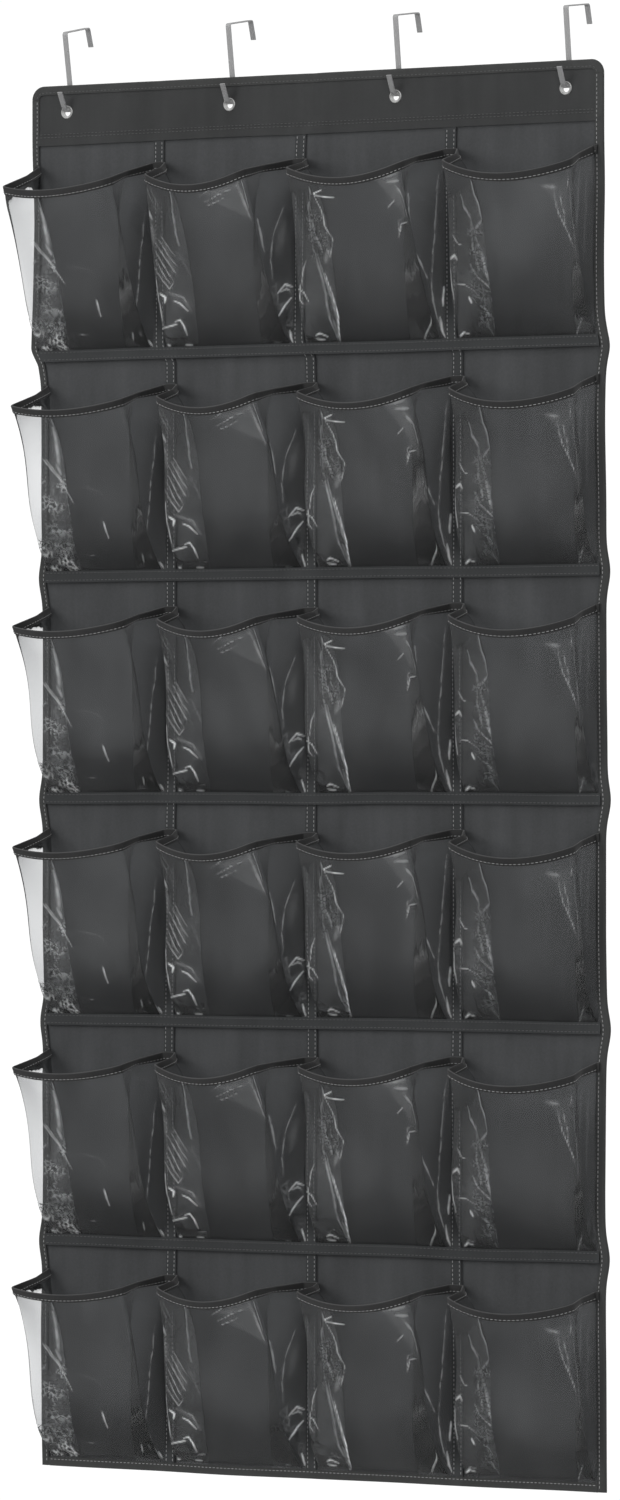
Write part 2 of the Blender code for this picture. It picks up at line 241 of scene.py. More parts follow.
def slab(name, grid, look, keep):
    """A thin closed piece from a grid (x, lift, z) of its back: the kept cells, front and back, and a rim."""
    rows, columns = grid.shape[:2]
    front = grid.copy()
    front[..., 1] += CLOTH
    count = rows * columns
    faces = grid_faces(rows, columns, count) + grid_faces(rows, columns, 0, flip=True)
    faces = [face for face, kept in zip(faces, list(keep.ravel()) * 2) if kept]
    uses = set()
    for face in faces[: len(faces) // 2]:
        uses.update(zip(face, face[1:] + face[:1]))
    rim = [(b, a, a - count, b - count) for a, b in sorted(uses) if (b, a) not in uses]
    points = np.concatenate([hang(grid).reshape(-1, 3), hang(front).reshape(-1, 3)])
    return add_mesh(name, points, faces + rim, look)


def sweep(name, path, across, up, section, look, hung=True):
    """A closed section, as (across, up) offsets, carried along a path of (x, lift, z) points."""
    rings = (
        path[:, None, :]
        + across[:, None, :] * section[None, :, 0:1]
        + up[:, None, :] * section[None, :, 1:2]
    )
    points = hang(rings) if hung else rings
    rows, columns = rings.shape[:2]
    faces = grid_faces(rows, columns, closed=True)
    faces.append(tuple(range(columns))[::-1])
    faces.append(tuple((rows - 1) * columns + j for j in range(columns)))
    return add_mesh(name, points, faces, look)


def settle(piece, *nodes, body=PANEL):
    """Rides on the body and stands for the CAD nodes, if it stands for any."""
    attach(piece, body)
    if nodes:
        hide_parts(*nodes)
    return piece


def laid(pairs, lift):
    """Points (x, lift, z) of the flat layout, from their (x, z)."""
    return np.stack([pairs[:, 0], np.full(len(pairs), lift), pairs[:, 1]], axis=-1)


# ---------------------------------------------------------------- materials


class Nodes:
    """Short ways to make and link the nodes of one material, or of the world."""

    def __init__(self, owner, output="ShaderNodeOutputMaterial"):
        self.owner = owner
        owner.use_nodes = True
        self.tree = owner.node_tree
        self.tree.nodes.clear()
        self.output = self.tree.nodes.new(output)

    def add(self, kind, inputs=None, **settings):
        node = self.tree.nodes.new(kind)
        for key, value in settings.items():
            setattr(node, key, value)
        for key, value in (inputs or {}).items():
            if isinstance(value, bpy.types.NodeSocket):
                self.tree.links.new(value, node.inputs[key])
            else:
                node.inputs[key].default_value = value
        return node

    def place(self):
        return self.add("ShaderNodeTexCoord").outputs["Object"]

    def attribute(self, name):
        return self.add("ShaderNodeAttribute", attribute_name=name).outputs["Fac"]

    def noise(self, scale, detail=2.0, stretch=(1, 1, 1)):
        mapped = self.add("ShaderNodeMapping", {"Vector": self.place(), "Scale": stretch})
        inputs = {"Vector": mapped.outputs[0], "Scale": scale, "Detail": detail}
        return self.add("ShaderNodeTexNoise", inputs).outputs["Fac"]

    def math(self, operation, a, b=0.0):
        return self.add("ShaderNodeMath", {0: a, 1: b}, operation=operation).outputs[0]

    def between(self, value, low, high, to_low, to_high):
        inputs = {"Value": value, 1: low, 2: high, 3: to_low, 4: to_high}
        return self.add("ShaderNodeMapRange", inputs).outputs[0]

    def mix_colour(self, factor, a, b):
        inputs = {0: factor, 6: a if isinstance(a, bpy.types.NodeSocket) else (*a, 1), 7: (*b, 1)}
        return self.add("ShaderNodeMix", inputs, data_type="RGBA").outputs[2]

    def bump(self, height, distance, strength=1.0, normal=None):
        inputs = {"Height": height, "Distance": distance, "Strength": strength}
        if normal is not None:
            inputs["Normal"] = normal
        return self.add("ShaderNodeBump", inputs).outputs[0]

    def finish(self, shader):
        self.tree.links.new(shader.outputs[0], self.output.inputs["Surface"])
        return self.owner

    def principled(self, inputs):
        return self.finish(self.add("ShaderNodeBsdfPrincipled", inputs))


def material_nodes(name):
    return Nodes(bpy.data.materials.new(name))


def weave(nodes, thread):
    """Height of a plain weave of threads along X and Z."""
    split = nodes.add("ShaderNodeSeparateXYZ", {0: nodes.place()})
    turns = 2 * math.pi / thread
    across = nodes.math("SINE", nodes.math("MULTIPLY", split.outputs["X"], turns))
    along = nodes.math("SINE", nodes.math("MULTIPLY", split.outputs["Z"], turns))
    return nodes.math("MULTIPLY", across, along)


def cloth_material(name, colour, mottle, thread=0.0011):
    """Dark woven cloth: a fine weave, fibre grain, slow changes of tone and soft creases, and a painted
    highlight along fold crests.
    """
    nodes = material_nodes(name)
    patches = nodes.noise(16.0, 4.0, (1.0, 1.0, 0.45))
    streaks = nodes.noise(70.0, 2.0, (1.0, 1.0, 0.10))
    grain = nodes.noise(420.0, 3.0)
    tone = nodes.math("ADD", nodes.math("MULTIPLY", patches, 0.45), nodes.math("MULTIPLY", streaks, 0.25))
    tone = nodes.math("ADD", tone, nodes.math("MULTIPLY", grain, 0.3))
    dark, light = (tuple(c * (1 + change) for c in colour) for change in (-mottle, mottle))
    base = nodes.mix_colour(nodes.between(tone, 0.36, 0.64, 0.0, 1.0), dark, light)
    # Painted highlight: lighter along a fold's crest, where the light catches it.
    fold_crest_highlight = nodes.math("MULTIPLY", nodes.attribute("fold_crest_highlight"), 0.5)
    fine = nodes.bump(weave(nodes, thread), 0.0001, 0.5)
    return nodes.principled(
        {
            "Base Color": nodes.mix_colour(fold_crest_highlight, base, (0.15, 0.15, 0.15)),
            "Roughness": nodes.between(grain, 0.3, 0.7, 0.80, 0.95),
            "Sheen Weight": 0.12,
            "Sheen Roughness": 0.5,
            "Specular IOR Level": 0.25,
            "Normal": nodes.bump(nodes.noise(34.0, 2.0, (1, 1, 0.6)), 0.0012, 0.35, fine),
        }
    )


def film_material():
    """Clear soft film: see-through, glossy, and whitened along its creases, with painted glints, reflections
    and sheen.
    """
    nodes = material_nodes("clear_film")
    cells = {"Vector": nodes.place(), "Scale": 210.0}
    net = nodes.add("ShaderNodeTexVoronoi", cells, feature="DISTANCE_TO_EDGE").outputs["Distance"]
    folded = nodes.math("MULTIPLY", nodes.between(net, 0.0, 0.14, 1.0, 0.0), nodes.attribute("crumple"))
    soft = nodes.bump(nodes.noise(46.0, 2.0, (1.6, 1.0, 0.45)), 0.0022, 0.30)
    normal = nodes.bump(folded, 0.0010, 0.8, soft)
    # Seen aslant, light goes a longer way through the film. The whitening aslant below is a painted sheen.
    slant = nodes.add("ShaderNodeLayerWeight", {"Blend": 0.5}).outputs["Facing"]
    haze_and_painted_glints = nodes.between(nodes.noise(24.0, 4.0, (1, 1, 0.5)), 0.40, 0.80, 0.034, 0.054)
    # Painted glints along the crumple net, where the film is crumpled.
    haze_and_painted_glints = nodes.math("ADD", haze_and_painted_glints, nodes.math("MULTIPLY", folded, 0.04))
    # Painted glints, highlights and reflections, from the crease values, add to the film's own haze.
    haze_and_painted_glints = nodes.math("ADD", haze_and_painted_glints, nodes.attribute("crease_white_and_glints"))
    # Painted sheen: the film is whitened where it is seen aslant, standing in for its grazing reflection and
    # lifting the shade in its pleats.
    haze_and_painted_glints = nodes.math("ADD", haze_and_painted_glints, nodes.between(slant, 0.35, 1.0, 0.0, 0.055))
    haze_and_painted_glints = nodes.math("MINIMUM", haze_and_painted_glints, 0.95)
    aslant = nodes.between(slant, 0.15, 0.50, 0.0, 1.0)
    tint = nodes.mix_colour(aslant, (0.91, 0.915, 0.92), (0.60, 0.605, 0.61))
    clear = nodes.add("ShaderNodeBsdfTransparent", {"Color": tint})
    # Whitened film scatters the light that meets either of its sides. This white shader also draws the
    # painted glints, reflections and sheen.
    scattered = nodes.add("ShaderNodeBsdfDiffuse", {"Color": (0.88, 0.89, 0.89, 1), "Normal": normal})
    passed = nodes.add("ShaderNodeBsdfTranslucent", {"Color": (0.66, 0.67, 0.67, 1), "Normal": normal})
    white = nodes.add("ShaderNodeAddShader", {0: scattered.outputs[0], 1: passed.outputs[0]})
    glossy = {"Color": (0.55, 0.55, 0.55, 1), "Roughness": 0.09, "Normal": normal}
    gloss = nodes.add("ShaderNodeBsdfAnisotropic", glossy, distribution="GGX")
    body = nodes.add("ShaderNodeMixShader", {0: haze_and_painted_glints, 1: clear.outputs[0], 2: white.outputs[0]})
    shine = nodes.add("ShaderNodeFresnel", {"IOR": 1.48, "Normal": normal}).outputs[0]
    return nodes.finish(nodes.add("ShaderNodeMixShader", {0: shine, 1: body.outputs[0], 2: gloss.outputs[0]}))


def metal_material(name, colour, roughness, brushed, metallic):
    """Plated metal, with fine brush lines along Z where it is brushed, and faint handling marks."""
    nodes = material_nodes(name)
    lines = nodes.noise(900.0, 3.0, (1.0, 1.0, 0.03))
    marks = nodes.noise(60.0, 4.0)
    low = tuple(c * 0.90 for c in colour)
    return nodes.principled(
        {
            "Base Color": nodes.mix_colour(nodes.between(lines, 0.35, 0.65, 0.0, 1.0), low, colour),
            "Metallic": metallic,
            "Roughness": nodes.between(marks, 0.35, 0.70, roughness * 0.8, roughness * 1.25),
            "Normal": nodes.bump(lines, 0.00004, brushed),
        }
    )


def thread_material(name, tone):
    """Twisted sewing thread."""
    nodes = material_nodes(name)
    twist = nodes.noise(1500.0, 1.0, (1, 1, 0.6))
    base = nodes.mix_colour(twist, (tone * 0.8,) * 3, (tone * 1.2,) * 3)
    return nodes.principled({"Base Color": base, "Roughness": 0.75, "Normal": nodes.bump(twist, 0.0001, 0.6)})


PANEL_CLOTH = cloth_material("panel_cloth", (0.068, 0.070, 0.072), 0.20)
HEADER_CLOTH = cloth_material("header_cloth", (0.046, 0.047, 0.047), 0.18)
BINDING_CLOTH = cloth_material("edge_binding_cloth", (0.052, 0.053, 0.052), 0.14, 0.0009)
TAPE_CLOTH = cloth_material("seam_tape_cloth", (0.047, 0.049, 0.050), 0.12, 0.0009)
MOUTH_CLOTH = cloth_material("mouth_binding_cloth", (0.034, 0.034, 0.034), 0.14, 0.0009)
FILM = film_material()
CHROME = metal_material("eyelet_chrome", (0.82, 0.82, 0.81), 0.14, 0.0, 0.85)
STEEL = metal_material("hook_steel", (0.60, 0.60, 0.60), 0.34, 0.5, 0.55)
THREAD = thread_material("stitch_thread", 0.38)
DARK_THREAD = thread_material("stitch_thread_dark", 0.12)


# ---------------------------------------------------------------- stitches


class Stitches:
    """Sewing stitches of one seam, gathered into one piece."""

    SIDES = 5
    # Each stitch's rings: place along it, size, and height over the surface in thread radii
    RINGS = ((-0.5, 0.25, -0.6), (-0.28, 0.9, 0.1), (0.28, 0.9, 0.1), (0.5, 0.25, -0.6))

    def __init__(self, look=THREAD):
        self.look = look
        self.points = []
        self.faces = []

    def run(self, line, normals):
        """Stitches along a line of points in place, lying on the surface with those normals."""
        run = run_along(line)
        count = int(run[-1] / STITCH_PITCH)
        starts = (run[-1] - count * STITCH_PITCH) / 2 + (np.arange(count) + 0.5) * STITCH_PITCH
        half = STITCH_LENGTH / 2
        facing = unit(values_at(starts, run, normals))
        along = unit(values_at(starts + half, run, line) - values_at(starts - half, run, line))
        angles = 2 * math.pi * np.arange(self.SIDES) / self.SIDES
        circle = (
            np.cross(along, facing)[:, None, :] * np.cos(angles)[None, :, None]
            + facing[:, None, :] * np.sin(angles)[None, :, None]
        )
        rings = []
        for share, size, rise in self.RINGS:
            offset = along * share * STITCH_LENGTH + facing * rise * STITCH_RADIUS
            centre = values_at(starts, run, line) + offset
            rings.append(centre[:, None, :] + STITCH_RADIUS * size * circle)
        start = sum(len(block) for block in self.points)
        self.points.append(np.concatenate(rings, axis=1).reshape(-1, 3))
        last = (len(self.RINGS) - 1) * self.SIDES
        for _ in range(count):
            self.faces += grid_faces(len(self.RINGS), self.SIDES, start, closed=True)
            self.faces.append(tuple(start + j for j in range(self.SIDES))[::-1])
            self.faces.append(tuple(start + last + j for j in range(self.SIDES)))
            start += last + self.SIDES

    def finish(self, name):
        settle(add_mesh(name, np.concatenate(self.points), self.faces, self.look, 60))


def flat_run(stitches, start, end, lift, facing=1.0):
    """A straight seam of the flat layout, from (x, z) to (x, z)."""
    count = max(int(math.dist(start, end) / 0.002), 2)
    line = hang(laid(np.linspace(start, end, count), lift))
    stitches.run(line, np.tile((0.0, -facing, 0.0), (count, 1)))


# ---------------------------------------------------------------- panel, header, bindings, tapes


def cloth_grid(bottom, top, lift):
    """Grid over the panel's width, with the top corners drawn in to their round."""
    side = HALF_WIDTH - LAYER
    columns = int(2 * side / CELL)
    rows = max(int((top - bottom) / CELL), 2)
    x, z = np.meshgrid(np.linspace(-side, side, columns), np.linspace(bottom, top, rows))
    reach = CORNER_RADIUS - LAYER
    a = np.clip((np.abs(x) - (side - reach)) / reach, 0, 1)
    b = np.clip((z - (PANEL_TOP - LAYER - reach)) / reach, 0, 1)
    both = (a > 0) & (b > 0)
    round_x = np.sign(x) * (side - reach + reach * a * np.sqrt(1 - b * b / 2))
    round_z = PANEL_TOP - LAYER - reach + reach * b * np.sqrt(1 - a * a / 2)
    x, z = np.where(both, round_x, x), np.where(both, round_z, z)
    return np.stack([x, np.full_like(x, lift), z], axis=-1)


def open_eyelets(grid):
    """Draws the grid back from each eyelet's barrel. Returns which cells stay."""
    hole = 0.0056
    middle = (grid[:-1, :-1] + grid[1:, 1:]) / 2
    keep = np.ones(middle.shape[:2], bool)
    for x, z in EYELET_CENTRES:
        keep &= np.hypot(middle[..., 0] - x, middle[..., 2] - z) > hole
    open_cells = ~keep
    touched = np.zeros(grid.shape[:2], bool)
    for i in (0, 1):
        for j in (0, 1):
            touched[i : i + keep.shape[0], j : j + keep.shape[1]] |= open_cells
    for x, z in EYELET_CENTRES:
        away = np.stack([grid[..., 0] - x, grid[..., 2] - z], axis=-1)
        distance = np.hypot(away[..., 0], away[..., 1])
        near = touched & (distance < 0.02)
        scale = np.where(near, hole / np.maximum(distance, 1e-4), 1.0)
        grid[..., 0] = np.where(near, x + away[..., 0] * scale, grid[..., 0])
        grid[..., 2] = np.where(near, z + away[..., 1] * scale, grid[..., 2])
    return keep


def build_cloths():
    grid = cloth_grid(PANEL_BOTTOM + LAYER, PANEL_TOP - LAYER, 0.0)
    keep = open_eyelets(grid)
    panel = settle(slab("panel_back_cloth", grid, PANEL_CLOTH, keep), "back_panel")
    grid = cloth_grid(HEADER_BOTTOM, PANEL_TOP - LAYER, LAYER)
    x, z = grid[..., 0], grid[..., 2]
    # The hem along the header's lower edge is folded, so it stands out a little.
    grid[..., 1] += 0.0012 * np.exp(-(((z - HEADER_BOTTOM - 0.002) / 0.006) ** 2))
    # It bulges a little too, but not along the top or round the eyelets.
    from_eyelet = np.min([np.hypot(x - at_x, z - at_z) for at_x, at_z in EYELET_CENTRES], axis=0)
    free = smoothstep(0.010, 0.02, PANEL_TOP - z) * smoothstep(0.0, 0.012, from_eyelet - 0.012)
    grid[..., 1] += 0.0006 * (0.5 + 0.5 * soft_noise(x, z, 0.03, 5)) * free
    keep = open_eyelets(grid)
    header = settle(slab("header_cloth", grid, HEADER_CLOTH, keep), "header_band")


def binding_section():
    """Outline of the folded edge tape, as (inward, lift): round the fold, along the front leg and back."""
    front, back = 2 * LAYER + CLOTH / 2 + 0.0001, -(CLOTH / 2 + 0.0003)
    radius = (front - back) / 2
    curve = [(BINDING_LEG, front), (BINDING_LEG * 0.6, front + 0.0002), (radius, front)]
    curve += arc((radius, (front + back) / 2), radius, 90, 270, 8)
    curve += [(radius, back), (BINDING_LEG * 0.6, back - 0.0001), (BINDING_LEG, back)]
    curve = np.array(curve)
    tangent = np.gradient(curve, axis=0)
    normal = unit(np.stack([-tangent[:, 1], tangent[:, 0]], axis=-1))
    return np.concatenate([curve - normal * CLOTH / 2, (curve + normal * CLOTH / 2)[::-1]])


def binding(name, node, path, inward):
    """Folded edge tape along a path of (x, z), with its inward directions."""
    place = np.arange(len(path))
    pucker = 0.00022 * np.sin(place * 2.1) + 0.00025 * soft_noise(place, 0 * place, 3.0, len(name))
    lift = np.outer(1 + 60 * pucker, (0.0, 1.0, 0.0))
    section = binding_section()
    tape = sweep(name, laid(path, 0.0), laid(inward, 0.0), lift, section, BINDING_CLOTH)
    settle(tape, node)


def line_path(start, end, inward):
    count = int(math.dist(start, end) / 0.0022)
    return np.linspace(start, end, count), np.tile(inward, (count, 1)).astype(float)


def top_path():
    """Round the left corner, along the top and round the right corner."""
    centre_x, centre_z = HALF_WIDTH - CORNER_RADIUS, PANEL_TOP - CORNER_RADIUS
    straight = [(x, PANEL_TOP) for x in np.linspace(-centre_x, centre_x, 300)[1:-1]]
    left = arc((-centre_x, centre_z), CORNER_RADIUS, 180, 90, 13)
    right = arc((centre_x, centre_z), CORNER_RADIUS, 90, 0, 13)
    left_in, right_in = (arc((0.0, 0.0), -1.0, start, start - 90, 13) for start in (180, 90))
    return np.array(left + straight + right), np.array(left_in + [(0.0, -1.0)] * len(straight) + right_in)


def build_bindings():
    top_end = PANEL_TOP - CORNER_RADIUS - TAPE_GAP
    front, back = 2 * LAYER + CLOTH + 0.0003, -0.0012
    inset = BINDING_LEG - 0.0022
    edge = Stitches()
    for name, side in (("left", -1), ("right", 1)):
        outer, sewn = side * HALF_WIDTH, side * (HALF_WIDTH - inset)
        path, inward = line_path((outer, PANEL_BOTTOM), (outer, top_end), (-side, 0))
        if side > 0:
            path, inward = path[::-1], inward[::-1]
        binding(f"edge_binding_{name}", f"binding_{name}", path, inward)
        for lift, facing in ((front, 1.0), (back, -1.0)):
            flat_run(edge, (sewn, PANEL_BOTTOM + 0.003), (sewn, top_end), lift, facing)
    path, inward = top_path()
    binding("edge_binding_top", "binding_top", path, inward)
    top = Stitches(DARK_THREAD)
    top.run(hang(laid(path + inward * inset, front)), np.tile((0.0, -1.0, 0.0), (len(path), 1)))
    top.finish("stitches_top_binding")
    path, inward = line_path((TAPE_END, PANEL_BOTTOM), (-TAPE_END, PANEL_BOTTOM), (0, 1))
    binding("edge_binding_bottom", "binding_bottom", path, inward)
    z = PANEL_BOTTOM + inset
    flat_run(edge, (-TAPE_END, z), (TAPE_END, z), front)
    edge.finish("stitches_edge_binding")
    header = Stitches(DARK_THREAD)
    for z in (HEADER_BOTTOM + 0.0085, HEADER_BOTTOM + 0.0115):
        flat_run(header, (-TAPE_END, z), (TAPE_END, z), LAYER + CLOTH + 0.0012)
    header.finish("stitches_header_hem")


def flat_tape(name, node, start, end, width, lift, crown, droop=0.0):
    """A straight tape laid flat, crowned along its middle. Droop makes its lower edge stand off."""
    u = np.linspace(-1, 1, 9)
    rise = crown * (1 - u * u) + droop * np.maximum(-u, 0) ** 2
    low, top = (np.stack([u * width / 2, side * CLOTH / 2 + rise], axis=-1) for side in (-1, 1))
    section = np.concatenate([low, top[::-1]])
    count = max(int(math.dist(start, end) / 0.003), 2)
    path = laid(np.linspace(start, end, count), lift + CLOTH / 2)
    along = unit(np.array(end, float) - np.array(start, float))
    wide = np.tile((-along[1], 0.0, along[0]), (count, 1))
    up = np.tile((0.0, 1.0, 0.0), (count, 1))
    tape = settle(sweep(name, path, wide, up, section, TAPE_CLOTH), node)


def build_tapes():
    rows, columns = Stitches(DARK_THREAD), Stitches()
    for row, low in enumerate(SEAM_LOW[:-1], start=1):
        ends = [(side * TAPE_END, low + TAPE_HEIGHT / 2) for side in (-1, 1)]
        flat_tape(f"row_tape_{row}", f"row_seam_tape_{row}", *ends, TAPE_HEIGHT, 3 * LAYER, 0.0004, 0.0018)
        # The seam along the edge that stands off lies further out.
        for z, lift in ((low + 0.0022, 0.0012), (low + (TAPE_HEIGHT - 0.0022), 0.0003)):
            flat_run(rows, (-TAPE_END, z), (TAPE_END, z), 3 * LAYER + CLOTH + lift)
    for column, (x, (low, high)) in enumerate(zip(COLUMN_SEAMS, COLUMN_TAPES), start=1):
        name, node = f"column_tape_strip_{column}", f"column_tape_{column}"
        flat_tape(name, node, (x, low.z), (x, high.z), COLUMN_TAPE_WIDTH, 2 * LAYER, 0.0003)
        for side in (-1, 1):
            across = x + side * (COLUMN_TAPE_WIDTH / 2 - 0.0020)
            flat_run(columns, (across, low.z), (across, high.z), 2 * LAYER + CLOTH + 0.0002)
    rows.finish("stitches_row_tapes")
    columns.finish("stitches_column_tapes")


# ---------------------------------------------------------------- pocket film

GUSSET_CELLS = 44
FRONT_CELLS = 112
FILM_ROWS = 130
HEM_ROWS = 3
PART_START = {
    "left": 2,
    "front": 2 + 2 * GUSSET_CELLS,
    "right": 2 + 2 * GUSSET_CELLS + FRONT_CELLS,
}
PART_CELLS = {"left": 2 * GUSSET_CELLS, "front": FRONT_CELLS, "right": 2 * GUSSET_CELLS}
STATIONS = 2 + 2 * GUSSET_CELLS + FRONT_CELLS + 2 * GUSSET_CELLS + 2 + 1
